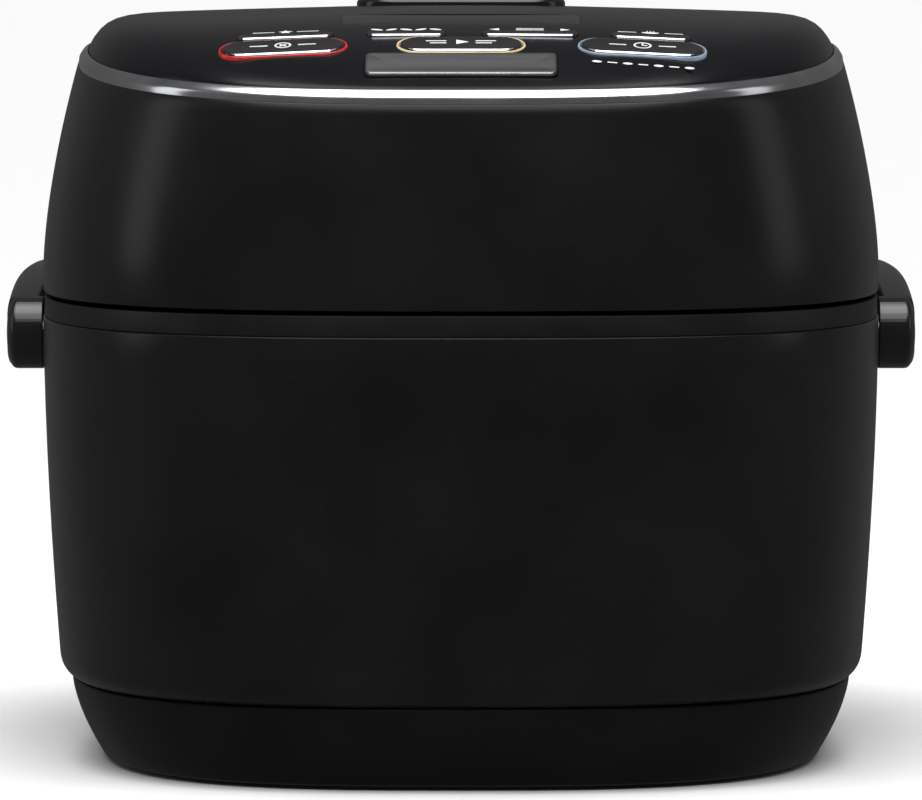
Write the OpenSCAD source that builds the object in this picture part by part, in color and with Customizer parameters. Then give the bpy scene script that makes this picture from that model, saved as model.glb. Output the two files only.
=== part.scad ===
// Multi-function induction rice cooker: closed body with its inner pot, hinged lid and carry handle.
// Millimetres, +Z up, front towards -Y, feet on z = 0, origin under the middle of the bounding box.

/* [Body] */
// Width across the lid seam
body_w = 258; // [250:1:310]
// Depth across the lid seam
body_d = 330; // [325:1:400]
// Height of the seam between body and lid
seam_h = 142.5; // [140:0.5:172]
// Height of the lid's crown
crown_h = 229.4; // [220:0.1:260]
// Squareness of the plan outline, where 2 is an ellipse
squareness = 2.9; // [2.6:0.1:3.4]
// Wall of the outer plastic shells
wall = 2.6; // [2:0.1:3]
// Height of the base pan's upper edge
base_h = 25.2; // [22:0.1:28]
// Height of the collar band under the lid seam
collar_h = 7; // [6:0.5:9]
// How far the rubber feet stand out below the base
foot_stand = 1.2; // [1:0.1:4]

/* [Inner pot] */
// Outside diameter of the pot's wall
pot_d = 187; // [155:1:190]
// Outside diameter of the pot's rim flange
flange_d = 210; // [178:1:212]
// Height of the pot
pot_h = 118; // [98:1:119]
// Thickness of the pot's wall
pot_wall = 2; // [1.2:0.1:3]
// Outside radius of the pot's lower corner
pot_corner = 40; // [30:1:45]
// How far the pot's centre sits in front of the body's centre
pot_ahead = 18; // [14:1:20]
// Free space between the pot and its chamber
pot_clear = 3; // [2:0.5:4]

/* [Lid] */
// Clear seam between lid and body
seam_gap = 0.8; // [0.5:0.1:1.5]
// Width of the bright trim ring in plan
trim_w = 3; // [2:0.1:4]
// Thickness of the control panel's skin
panel_t = 2; // [1.6:0.1:2.6]
// Depth of the recess that takes the inner lid
recess_h = 13; // [12:0.5:20]
// Diameter of the recess that takes the inner lid
recess_d = 228; // [224:1:232]

/* [Controls] */
// Width of a large oval key
key_w = 36.6; // [30:0.1:40]
// Depth of a large oval key
key_d = 13.4; // [10:0.1:15]
// Depth of a small key
small_key_d = 5.6; // [4:0.1:7]
// Travel of every key
key_travel = 0.6; // [0.3:0.1:1]
// Clearance round a key
key_gap = 0.25; // [0.15:0.05:0.5]
// Width of the lid release plate
release_w = 57; // [45:1:60]
// Depth of the lid release plate
release_d = 14.8; // [12:0.1:15]
// Travel of the lid release plate
release_travel = 2; // [1:0.1:2.5]

/* [Handle] */
// Height of the handle's pivot
pivot_h = 128.2; // [122:0.1:128.2]
// Width of the handle's bar, seen from above
bar_w = 11.7; // [10:0.1:14]
// Height of the handle's bar at the pivots
bar_h = 22.4; // [18:0.1:23]
// Height of the handle's bar at the grip
grip_h = 15; // [12:0.5:18]
// Radius of the handle's pivot pins
pivot_r = 4; // [3:0.1:5]
// Free space between the lid's rear edge and the handle's grip
grip_clear = 12.5; // [11:0.5:20]

/* [Hinge] */
// Radius of the lid hinge's barrel
barrel_r = 7.5; // [6.5:0.1:8]
// Radius of the lid hinge's pin
hinge_pin_r = 2.5; // [2:0.1:3]
// Radial running clearance of every pin
run_gap = 0.05; // [0.02:0.01:0.1]

/* [Hidden] */
$fn = 64;

// Outline: a superellipse drawn with this many points
outline_n = 80;
half_w = body_w / 2;
half_d = body_d / 2;

// Base and body
base_step = 8.6;            // inset of the base pan's upper edge
base_tuck = 10.4;            // further inset at the table
floor_t = 2.5;
floor_in = base_inset(4) + wall + 1.5;
tongue_h = 5.8;
tongue_t = 1.6;
tongue_gap = 0.4;
body_z0 = base_h + 0.5;
body_z1 = seam_h - collar_h;
belly = 4.9;                // inset of the body's straight part at its foot
waist_z = 70;
skirt_r = 7;                // rounding of the body's lower edge
deck_z = seam_h - 0.4;
deck_t = 3.2;
band_inset = 0.4;

// Pot, chamber and coil
pot_r = pot_d / 2;
pot_y = -pot_ahead;
rim_t = 3;
seat_z = seam_h + 3.5;      // the pot's rim rests at this height
pot_z0 = seat_z + rim_t - pot_h;
chamber_r = pot_r + pot_clear;
chamber_t = 1.2;
chamber_z0 = pot_z0 + pot_corner - 6;
former_t = 2;
former_gap = 2.5;           // between the pot's bottom and the coil former
coil_t = 3;
sensor_r = 13;
sensor_stroke = 2;
guide_h = 18 + sensor_stroke;
guide_t = 1.6;

// Posts, feet and screws
post = [half_w - 51, half_d - 60];
post_r = 5;
foot_r = 8;
foot_sink = 1;
feet = [[half_w - 69, -(half_d - 53)], [half_w - 37, half_d - 99]];
screw_r = 1.75;
screw_gap = 0.05;

// Power side
fan_side = 50;
fan_h = 15;
fan_gap = 0.5;              // between the fan's housing and the foot of the base's wall
fan_x = 40;
fan_at = [fan_x, floor_y(fan_x + fan_side / 2) - fan_side / 2 - fan_gap];
board_at = post[1] + post_r;
board_t = 1.6;
board_w = 2 * post[0] + 10;
board_z = [30, 112];
inlet_at = [-26, 44];
inlet_w = 30;
inlet_h = 22;
inlet_y = rear_y(abs(inlet_at[0]) + inlet_w / 2, inlet_at[1]) + 0.4;
inlet_lip = 3.5;            // how far the flange reaches round the inlet, behind the wall
inlet_half = inlet_w / 2 + inlet_lip + 0.5;
inlet_foot = inlet_at[1] - inlet_h / 2 - inlet_lip - 0.5;
flange_in = inlet_y + wall + 0.5
  - rear_y(abs(inlet_at[0]) + inlet_w / 2 + inlet_lip, inlet_at[1] - inlet_h / 2 - inlet_lip);

// Lid surfaces
panel_a = half_w - 13.8;
panel_b = half_d - 11;
edge_side = crown_h - 11.4; // height of the panel's edge at the sides
edge_front = 10;            // how much lower it is at the front
edge_rear = 15;             // and at the rear
edge_drop = 2.4;            // from the ring's inner edge to its outer edge
trim_t = 1.6;
ledge_w = 7;
lid_z0 = deck_z + 0.4 + seam_gap;
liner_z = lid_z0 + 0.9;
liner_t = 2.8;
lid_boss = [half_w - wall - 6, 50];
recess_r = recess_d / 2;
recess_z = liner_z + liner_t + recess_h;
inner_lid_z = seat_z + rim_t + 2.6;

// Hinge
hinge_y = half_d - 7;
hinge_z = seam_h + 6.5;
sleeve_x = 28;
arm_x = 44;
cheek_x = 56;
hinge_screw_in = 23;        // from the hinge's axis forwards to its screws
side_gap = 0.3;
notch_x = cheek_x + 1;
notch_h = 13;

// Latch
plate_t = 4;                // thickness of the release plate
latch_y = -(half_d - 13);
latch_z = seam_h + 20.5;
latch_half = 7;
latch_arm = 3.6;            // top of the latch's arm above its pivot
release_y = -(half_d - 25);
lever = release_y - latch_y;
keeper_y = latch_y + 8.9;
slot_half = latch_half + 2;
latch_swing = (latch_z - deck_z + deck_t + 4) * release_travel / lever;
slot_front = latch_y - 2.8 - latch_swing;

// Handle
grip_in = [half_w + 0.8, half_d + grip_clear];
grip_out = grip_in + [bar_w, bar_w];
grip_rise = 8;
grip_square = 3;
mid_y = (half_d - grip_out[1]) / 2;

// Steam way
steam_y = pot_y + 78;
cap_w = 66;
cap_d = 38;
cap_stand = 2.2;
duct_r = 12;
duct_bore = 9.6;

// Keys: centre x, distance from the front, width
large_keys = [[-53, 40.6], [0, 40.6], [54, 40.6]];
small_keys = [[-52.5, 52.2, 28.6], [-16.4, 52.2, 23.6], [20.6, 52.2, 28.6], [56.7, 52.2, 23.6]];
bezel_t = 0.8;
bezel_out = 2 * (key_gap + bezel_t);
key_stand = 0.7;
key_t = 6;
board_d = 45;               // distance of the control board's middle from the front
board_half = 66;
board_drop = 11.4;
switch_h = 3.4;

black = [0.06, 0.06, 0.07];
satin = [0.1, 0.1, 0.11];
steel = [0.62, 0.63, 0.65];
chrome = [0.85, 0.86, 0.88];

// ---- Outlines and surfaces ----

function power_of(v, e) = sign(v) * pow(abs(v), e);

// Points of a superellipse, anticlockwise from +X
function oval(a, b, n = squareness) = [
  for (i = [0 : outline_n - 1])
    let (t = 360 * i / outline_n) [a * power_of(cos(t), 2 / n), b * power_of(sin(t), 2 / n)]
];
function level(p, z) = [for (q = p) [q[0], q[1], z]];
function inset_ring(inset, z) = level(oval(half_w - inset, half_d - inset), z);

// Rectangle with round corners, centred
function soft_rect(w, d, r, m = 6) = [
  for (c = [0 : 3], k = [0 : m])
    let (t = 90 * c + 90 * k / m, sx = (c == 0 || c == 3) ? 1 : -1, sy = c < 2 ? 1 : -1)
      [sx * (w / 2 - r) + r * cos(t), sy * (d / 2 - r) + r * sin(t)]
];

// How far the outside lies inside the seam's outline
function base_inset(z) = base_step + base_tuck * pow(1 - z / (base_h + 0.3), 1.6);
function belly_inset(z) = belly * pow(max(0, 1 - (z - 31) / (body_z1 - 31)), 1.7);
// How far the body's inner wall has come in at z, straight from its top to its waist
function shell_fall(z) = belly_inset(waist_z) * (body_z1 - z) / (body_z1 - waist_z);
function skirt_inset(z) =
  let (h = min(skirt_r, z - base_h + 0.2)) skirt_r - sqrt(pow(skirt_r, 2) - pow(skirt_r - h, 2));
function body_inset(z) = min(base_step + 0.3, belly_inset(max(z, 31)) + skirt_inset(z));
// Where the floor of the base pan ends, at x
function floor_y(x) =
  (half_d - floor_in) * pow(1 - pow(x / (half_w - floor_in), squareness), 1 / squareness);
// Where the body's rear wall is, at x and z
function rear_y(x, z) =
  (half_d - body_inset(z)) * pow(1 - pow(abs(x) / (half_w - body_inset(z)), squareness), 1 / squareness);
function lid_lean(t) = pow(max(0, t - 0.1) / 0.9, 1.6);

// Crown of the lid: r runs from 0 in the middle to 1 at the panel's edge, v is the edge's place in depth
function edge_z(v) = edge_side - (v < 0 ? edge_front : edge_rear) * pow(abs(v), 1.3);
function crown_roll(r, v) =
  let (w = pow(abs(v), 3)) w * pow(r, 4.2) + (1 - w) * (0.2 * r * r + 0.8 * pow(r, 26));
function panel_r(x, y) =
  pow(pow(abs(x) / panel_a, squareness) + pow(abs(y) / panel_b, squareness), 1 / squareness);
function crown_z(x, y) =
  let (r = max(panel_r(x, y), 0.0001), v = max(-1, min(1, y / panel_b / r)))
    crown_h - (crown_h - edge_z(v)) * crown_roll(r, v);
function crown_ring(k, drop = 0) = [
  for (p = oval(panel_a * k, panel_b * k)) [p[0], p[1], crown_z(p[0], p[1]) - drop]
];
// A ring that follows the panel's edge, widened by out and lowered by drop
function edge_ring(out, drop) = [
  for (p = oval(panel_a, panel_b), q = [[p[0] * (1 + out / panel_a), p[1] * (1 + out / panel_b)]])
    [q[0], q[1], edge_z(p[1] / panel_b) - drop]
];
// The lid's wall at t between the seam and the trim ring, moved inwards by in
function wall_ring(t, in = 0, drop = 0) =
  let (a = half_w - (half_w - panel_a - trim_w) * lid_lean(t) - in,
       b = half_d - (half_d - panel_b - trim_w) * lid_lean(t) - in)
    [for (p = oval(a, b))
      [p[0], p[1], lid_z0 + t * (edge_z(p[1] / b) - edge_drop - trim_t - lid_z0) - drop]];

// Solid through a list of rings; looped joins the last ring to the first, and ends are closed otherwise
module loft(rings, looped = false) {
  n = len(rings[0]);
  m = len(rings);
  points = [for (r = rings) each r];
  spans = looped ? m - 1 : m - 2;
  sides = [
    for (k = [0 : spans], j = [0 : n - 1])
      let (a = k * n, b = ((k + 1) % m) * n, i = (j + 1) % n)
        each [[a + j, b + j, b + i], [a + j, b + i, a + i]]
  ];
  middles = [for (r = [rings[0], rings[m - 1]]) [for (c = [0 : 2]) vertical_sum(r, c) / n]];
  bottom = [for (j = [0 : n - 1]) [j, (j + 1) % n, m * n]];
  top = [for (j = [0 : n - 1]) [(m - 1) * n + (j + 1) % n, (m - 1) * n + j, m * n + 1]];
  polyhedron(looped ? points : concat(points, middles), looped ? sides : concat(sides, bottom, top));
}
function vertical_sum(r, c, i = 0) = i == len(r) ? 0 : r[i][c] + vertical_sum(r, c, i + 1);

// Prism along Z between two heights
module slab(points, z0, z1) {
  translate([0, 0, z0]) linear_extrude(z1 - z0) polygon(points);
}
module tube(r_out, r_in, z0, z1) {
  translate([0, 0, z0]) difference() {
    cylinder(r = r_out, h = z1 - z0);
    translate([0, 0, -1]) cylinder(r = r_in, h = z1 - z0 + 2);
  }
}
module rod_z(r, z0, z1) {
  translate([0, 0, z0]) cylinder(r = r, h = z1 - z0);
}
module rod_x(r, x0, x1) {
  translate([x0, 0, 0]) rotate([0, 90, 0]) cylinder(r = r, h = x1 - x0);
}
module box(low, high) {
  translate(low) cube(high - low);
}
module both_sides() {
  children();
  mirror([1, 0, 0]) children();
}
module four_corners(at) {
  for (sx = [-1, 1], sy = [-1, 1]) translate([sx * at[0], sy * at[1], 0]) children();
}
module foot_places() {
  for (f = feet, sx = [-1, 1]) translate([sx * f[0], f[1], 0]) children();
}
// Everything is drawn round the body's centre, and this moves it to the frame
module placed() {
  translate([0, mid_y, 0]) children();
}
function panel_point(x, from_front) = [x, from_front - half_d, crown_z(x, from_front - half_d)];
function panel_normal(x, from_front) =
  let (y = from_front - half_d, n = [
    (crown_z(x - 1, y) - crown_z(x + 1, y)) / 2, (crown_z(x, y - 1) - crown_z(x, y + 1)) / 2, 1
  ]) n / norm(n);
// From the panel's surface at a key, along the key's axis, down to the top of its switch
function key_reach(k) =
  let (across = panel_normal(0, board_d))
    ((panel_point(k[0], k[1]) - panel_point(0, board_d)) * across + board_drop - switch_h)
      / (panel_normal(k[0], k[1]) * across);
// Children stand on the panel at x and at a distance from the front, tilted to its surface
module on_panel(x, from_front) {
  y = from_front - half_d;
  slope_y = atan((crown_z(x, y + 1) - crown_z(x, y - 1)) / 2);
  slope_x = atan((crown_z(x + 1, y) - crown_z(x - 1, y)) / 2 * cos(slope_y));
  translate([x, y, crown_z(x, y)]) rotate([slope_y, 0, 0]) rotate([0, -slope_x, 0]) children();
}
// Coil drawn as touching turns round the Z axis
module wound(r, wire, z0, z1) {
  turns = max(1, floor((z1 - z0) / wire));
  pitch = (z1 - z0) / turns;
  outer = [for (k = [0 : turns * 4]) [r + wire * (0.3 + 0.2 * pow(sin(90 * k), 2)), z0 + pitch * k / 4]];
  inner = [for (k = [turns * 4 : -1 : 0]) [r - wire * 0.4, z0 + pitch * k / 4]];
  rotate_extrude() polygon(concat(outer, inner));
}

// ---- Body ----

module base_pan() {
  tongue_in = base_step + 0.3 + wall + tongue_gap;
  outer = [for (z = [foot_stand, 4, 7, 11, 16, 21, base_h]) inset_ring(base_inset(z), z)];
  inner = [
    inset_ring(tongue_in, base_h), inset_ring(tongue_in, base_h + tongue_h),
    inset_ring(tongue_in + tongue_t, base_h + tongue_h), inset_ring(tongue_in + tongue_t, 16),
    inset_ring(base_inset(8) + wall, 8), inset_ring(floor_in, foot_stand + floor_t)
  ];
  color(black) placed() difference() {
    union() {
      loft(concat(outer, inner));
      four_corners(post) rod_z(post_r + 1, foot_stand + floor_t - 0.5, foot_stand + 10);
    }
    four_corners(post) {
      rod_z(screw_r + 0.3, foot_stand - 1, foot_stand + 11);
      rod_z(screw_r * 2 + 0.4, foot_stand - 1, foot_stand + 7);
    }
    foot_places() rod_z(foot_r + 0.1, foot_stand - 1, foot_stand + foot_sink);
    box([inlet_at[0] - inlet_half, 0, max(base_h, inlet_foot)],
      [inlet_at[0] + inlet_half, half_d, base_h + tongue_h + 1]);
    for (k = [-3 : 3]) translate([fan_at[0] + 6.4 * k, fan_at[1], foot_stand - 1])
      linear_extrude(floor_t + 2) polygon(soft_rect(3.2, 2 * sqrt(21.5 * 21.5 - pow(6.4 * k, 2)), 1.5));
    for (k = [-5 : 5]) translate([9 * k, -(half_d - 57), foot_stand - 1])
      linear_extrude(floor_t + 2) polygon(soft_rect(3.2, 26, 1.5));
  }
}

module rubber_feet() {
  color([0.12, 0.12, 0.12]) placed() foot_places() {
    rod_z(foot_r, 0.6, foot_stand + foot_sink);
    cylinder(r1 = foot_r - 0.6, r2 = foot_r, h = 0.6);
  }
}

module base_screws() {
  color(steel) placed() four_corners(post) difference() {
    union() {
      rod_z(screw_r, foot_stand + 6.5, foot_stand + 24);
      rod_z(screw_r * 2, foot_stand + 4.6, foot_stand + 7);
    }
    translate([0, 0, foot_stand + 4]) linear_extrude(1.8) square([4.2, 0.9], center = true);
    translate([0, 0, foot_stand + 4]) linear_extrude(1.8) square([0.9, 4.2], center = true);
  }
}

module body_shell() {
  steps = [0, 0.8, 2, 4, 7.5, 20, 40, 65, body_z1 - body_z0];
  outer = [for (s = steps) inset_ring(body_inset(body_z0 + s), body_z0 + s)];
  inner = [for (s = [8, 4, 2, 0]) inset_ring(body_inset(body_z0 + s) + wall, body_z0 + s)];
  color(black) placed() difference() {
    loft(concat(outer, [inset_ring(wall, body_z1), inset_ring(shell_fall(waist_z) + wall, waist_z)], inner),
      looped = true);
    translate([0, 0, pivot_h]) rod_x(pivot_r + screw_gap, -half_w - 5, half_w + 5);
    translate([inlet_at[0], 0, inlet_at[1]]) rotate([-90, 0, 0])
      translate([0, 0, half_d - 30]) linear_extrude(40) polygon(soft_rect(inlet_w + 0.4, inlet_h + 0.4, 4));
    for (k = [0 : 6]) translate([25 + 7 * k, half_d - 30, 38]) box([0, 0, 0], [3, 40, 30]);
  }
}

module upper_collar() {
  edge = half_w - band_inset;
  rim_r = chamber_r + chamber_t + 2.8;
  tongue_z = max(pivot_h + pivot_r + 2, body_z1 - 1.3);
  color(satin) placed() difference() {
    union() {
      difference() {
        slab(oval(half_w - band_inset, half_d - band_inset), body_z1, deck_z);
        slab(oval(half_w - wall - 0.4, half_d - wall - 0.4), body_z1 - 1, deck_z - deck_t);
      }
      difference() {
        slab(oval(edge - wall - 0.2, half_d - wall - 0.6), tongue_z, deck_z - deck_t + 0.5);
        slab(oval(edge - wall - 1.8, half_d - wall - 2.2), tongue_z - 1, deck_z + 1);
      }
      translate([0, pot_y, 0]) tube(rim_r, chamber_r - 1, deck_z - deck_t, seat_z);
      four_corners(post) rod_z(post_r, foot_stand + 10, deck_z - deck_t + 0.5);
      both_sides() translate([0, hinge_y, hinge_z]) {
        rod_x(barrel_r, arm_x + side_gap, cheek_x);
        box([arm_x + side_gap, -barrel_r, deck_z - deck_t - hinge_z], [cheek_x, 0.5, 0]);
      }
    }
    translate([0, pot_y, 0]) rod_z(chamber_r, deck_z - deck_t - 5, seat_z + 1);
    four_corners(post) rod_z(screw_r + screw_gap, foot_stand, foot_stand + 26);
    for (sx = [-1, 1], z = board_z) translate([sx * post[0], post[1] - 1, z + (z < 60 ? 6 : -6)])
      rotate([-90, 0, 0]) rod_z(1.4, 0, post_r + 2);
    translate([0, hinge_y, hinge_z]) {
      rod_x(barrel_r + 0.6, -arm_x - side_gap, arm_x + side_gap);
      rod_x(hinge_pin_r + screw_gap, -cheek_x - 1, cheek_x + 1);
    }
    box([-slot_half, slot_front, body_z1 - 20], [slot_half, keeper_y - 0.3, deck_z + 1]);
  }
}

module pot_chamber() {
  flange = chamber_r + chamber_t + 5.5;
  color([0.72, 0.73, 0.75]) placed() translate([0, pot_y, 0]) {
    tube(chamber_r + chamber_t, chamber_r, chamber_z0, deck_z - deck_t);
    tube(flange, chamber_r, deck_z - deck_t - chamber_t, deck_z - deck_t);
  }
}

// Side profile of the pot's outside, grown by g, from the axis up to a height above the pot's bottom
function pot_side(g, top) = concat(
  [for (k = [0 : 9]) let (t = 10 * k)
    [pot_r - pot_corner + (pot_corner + g) * sin(t), pot_corner - (pot_corner + g) * cos(t)]],
  [[pot_r + g, top]]
);

module coil_former() {
  inside = pot_side(former_gap, pot_corner + 2);
  outside = pot_side(former_gap + former_t, pot_corner + 2);
  backwards = [for (k = [len(inside) - 1 : -1 : 0]) inside[k]];
  hole = sensor_r + 0.8;
  color([0.8, 0.78, 0.7]) placed() translate([0, pot_y, pot_z0]) difference() {
    union() {
      rotate_extrude() polygon(
        concat([[hole, -former_gap - former_t]], outside, backwards, [[hole, -former_gap]]));
      tube(hole + guide_t, hole, -guide_h, -former_gap);
      tube(hole + guide_t, 5, -guide_h - 1.5, -guide_h);
      for (t = [30 : 60 : 330]) rotate(t) translate([pot_r + former_gap, -3, pot_corner - 24])
        cube([5, 6, 26]);
    }
    translate([0, 0, pot_corner - 6]) rod_z(chamber_r + chamber_t + 0.1, 0, 20);
    rotate_extrude() polygon(concat([[0, -former_gap]], inside, [[0, pot_corner + 2]]));
  }
}

// Turns laid side by side under the former: a flat zone and a zone on the corner
module induction_coil() {
  flat = [for (r = [27 : 3 : 51]) [r, -former_gap - former_t - 1.5]];
  bend = [
    for (t = [22 : 4.4 : 58])
      [pot_r - pot_corner + (pot_corner + former_gap + former_t + 1.55) * sin(t),
       pot_corner - (pot_corner + former_gap + former_t + 1.55) * cos(t)]
  ];
  color([0.72, 0.36, 0.14]) placed() translate([0, pot_y, pot_z0])
    for (c = concat(flat, bend)) rotate_extrude() translate(c) circle(r = 1.45);
}

module ferrite_bars() {
  z1 = pot_z0 - former_gap - former_t - coil_t;
  color([0.2, 0.2, 0.22]) placed() translate([0, pot_y, 0])
    for (t = [0 : 45 : 315]) rotate(t + 22.5) box([24, -5, z1 - 5], [54, 5, z1]);
}

module side_heater() {
  z0 = chamber_z0 + 26;
  color([0.75, 0.6, 0.4]) placed() translate([0, pot_y, 0]) difference() {
    union() {
      tube(chamber_r + chamber_t + 2, chamber_r + chamber_t, z0, z0 + 26);
      rotate(90) box([chamber_r + chamber_t + 0.5, -9, z0 + 4], [chamber_r + chamber_t + 6, 9, z0 + 22]);
    }
    rod_z(chamber_r + chamber_t, z0 - 1, z0 + 30);
  }
}

module thermostat_sensor() {
  color(steel) placed() translate([0, pot_y, pot_z0]) {
    rod_z(sensor_r, -2, -0.05);
    tube(sensor_r, sensor_r - 1.2, -12, -2);
    rod_z(4, -7, -2);
  }
}

module sensor_spring() {
  color(steel) placed() translate([0, pot_y, pot_z0]) wound(8.4, 1.4, -guide_h, -2);
}

module inner_pot() {
  outside = pot_side(0, pot_h - rim_t);
  inside = [
    for (k = [9 : -1 : 0]) let (t = 10 * k)
      [pot_r - pot_corner + (pot_corner - pot_wall) * sin(t), pot_corner - (pot_corner - pot_wall) * cos(t)]
  ];
  rim = [
    [flange_d / 2 - 1.2, pot_h - rim_t], [flange_d / 2, pot_h - rim_t + 0.8], [flange_d / 2, pot_h - 1],
    [flange_d / 2 - 1.2, pot_h], [flange_d / 2 - 4, pot_h], [pot_r + 1.5, pot_h - 1],
    [pot_r - pot_wall + 0.4, pot_h - 2.4], [pot_r - pot_wall, pot_h - 5]
  ];
  color([0.08, 0.09, 0.13]) placed() translate([0, pot_y, pot_z0]) {
    rotate_extrude() polygon(concat([[0, 0]], outside, rim, inside, [[0, pot_wall]]));
    tube(38.5, 36.5, -1, 0.3);
  }
}

// ---- Power side ----

module main_board() {
  color([0.1, 0.35, 0.18]) placed() difference() {
    box([-board_w / 2, board_at, board_z[0]], [board_w / 2, board_at + board_t, board_z[1]]);
    for (sx = [-1, 1], z = board_z) translate([sx * post[0], board_at - 1, z + (z < 60 ? 6 : -6)])
      rotate([-90, 0, 0]) rod_z(1.6, 0, 5);
  }
}

module board_screws() {
  color(steel) placed() for (sx = [-1, 1], z = board_z)
    translate([sx * post[0], board_at, z + (z < 60 ? 6 : -6)]) rotate([-90, 0, 0]) {
      rod_z(1.35, -4, board_t + 0.2);
      rod_z(2.8, board_t, board_t + 2);
    }
}

module power_parts() {
  y0 = board_at + board_t;
  color([0.16, 0.2, 0.34]) placed() {
    for (x = [-62, -38]) translate([x, y0, 88]) rotate([-90, 0, 0]) rod_z(9, 0, 22);
    box([-20, y0, 78], [6, y0 + 16, 98]);
    translate([14, y0, 90]) rotate([-90, 0, 0]) tube(7, 3.4, 0, 9);
    box([-72, y0, 62], [-52, y0 + 14, 74]);
    box([40, board_at - 12, 60], [62, board_at, 84]);
    for (x = [-50, -30, -10]) box([x, board_at - 9, 44], [x + 12, board_at, 62]);
  }
}

module heat_sink() {
  y0 = board_at + board_t;
  color([0.7, 0.71, 0.73]) placed() {
    box([14, y0, 32], [68, y0 + 4, 72]);
    for (k = [0 : 8]) box([14 + 6.5 * k, y0 + 3.5, 32], [16 + 6.5 * k, y0 + 26, 72]);
  }
}

module fan_housing() {
  z0 = foot_stand + floor_t;
  color([0.12, 0.12, 0.13]) placed() translate([fan_at[0], fan_at[1], z0]) {
    difference() {
      slab(soft_rect(fan_side, fan_side, 4), 0, fan_h);
      rod_z(fan_side / 2 - 1.6, -1, fan_h + 1);
      four_corners([20.5, 20.5]) rod_z(1.8, -1, fan_h + 1);
    }
    rod_z(9, 0, 2.4);
    rod_z(1.5, 2, fan_h - 2);
    for (t = [0 : 120 : 240]) rotate(t + 30) box([8, -1.6, 0], [fan_side / 2 - 1.2, 1.6, 2]);
  }
}

module fan_rotor() {
  z0 = foot_stand + floor_t + 2.8;
  color([0.2, 0.2, 0.22]) placed() translate([fan_at[0], fan_at[1], z0]) difference() {
    union() {
      rod_z(9.5, 0, 10);
      for (t = [0 : 360 / 7 : 359]) rotate(t) translate([9, 0, 5]) rotate([38, 0, 0])
        box([-1, -5.4, -0.6], [13.4, 5.4, 0.6]);
    }
    rod_z(1.5 + run_gap, -1, 11);
  }
}

module inlet_outline(grow) {
  polygon(soft_rect(inlet_w + grow, inlet_h + grow, 4));
}

module power_inlet() {
  color(satin) placed() translate([inlet_at[0], inlet_y, inlet_at[1]]) rotate([90, 0, 0]) difference() {
    union() {
      linear_extrude(22) inlet_outline(0);
      translate([0, 0, flange_in]) linear_extrude(2.5) inlet_outline(2 * inlet_lip);
    }
    translate([0, 0, -2]) linear_extrude(20) polygon(soft_rect(24.4, 16.4, 2.5));
    inlet_blades(0.05);
  }
}

// Three flat contacts along Z, grown by g on every side
module inlet_blades(g) {
  for (p = [[-7, -2], [7, -2], [0, 2]]) translate([p[0], p[1], 5.5]) linear_extrude(20)
    square([2 + 2 * g, 4 + 2 * g], center = true);
}
module inlet_pins() {
  color(steel) placed() translate([inlet_at[0], inlet_y, inlet_at[1]]) rotate([90, 0, 0]) inlet_blades(0);
}

// ---- Lid hinge and latch on the body ----

module hinge_pin() {
  color(steel) placed() translate([0, hinge_y, hinge_z]) rod_x(hinge_pin_r, -cheek_x + 1, cheek_x - 1);
}

module hinge_sleeve() {
  color(satin) placed() translate([0, hinge_y, hinge_z]) difference() {
    union() {
      rod_x(barrel_r, -sleeve_x, sleeve_x);
      box([-sleeve_x, -barrel_r, deck_z - hinge_z - 0.1], [sleeve_x, 0, 0]);
    }
    rod_x(5.3, -sleeve_x + 2, sleeve_x - 2);
    rod_x(hinge_pin_r + screw_gap, -sleeve_x - 1, sleeve_x + 1);
    box([-sleeve_x - 1, -barrel_r - 1, -barrel_r - 3], [sleeve_x + 1, barrel_r + 3, deck_z - hinge_z]);
  }
}

module torsion_spring() {
  color(steel) placed() translate([0, hinge_y, hinge_z]) rotate([0, 90, 0])
    for (z = [-25, 3]) wound(4, 1.6, z, z + 22);
}

module latch_keeper() {
  color(steel) placed()
    box([-14, keeper_y, deck_z - deck_t - 1.5], [14, keeper_y + 10, deck_z - deck_t]);
}

// ---- Carry handle ----

module handle_pins() {
  head_r = pivot_r + 1.5;
  head_x = half_w - wall - shell_fall(pivot_h - head_r) - 0.4;
  color(steel) placed() both_sides() translate([0, 0, pivot_h]) {
    rod_x(pivot_r, head_x - 1, grip_in[0] + bar_w - 3.4);
    rod_x(head_r, head_x - 3.2, head_x);
  }
}

// Height of the bar's middle and half its height, by distance behind the pivots
function bar_z(y) = pivot_h + grip_rise * (1 - pow(1 - min(1, y / 110), 2)) * 1.05;
function bar_half(y) = (bar_h + (grip_h - bar_h) * pow(min(1, y / grip_in[1]), 4)) / 2 - 0.2;

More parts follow.
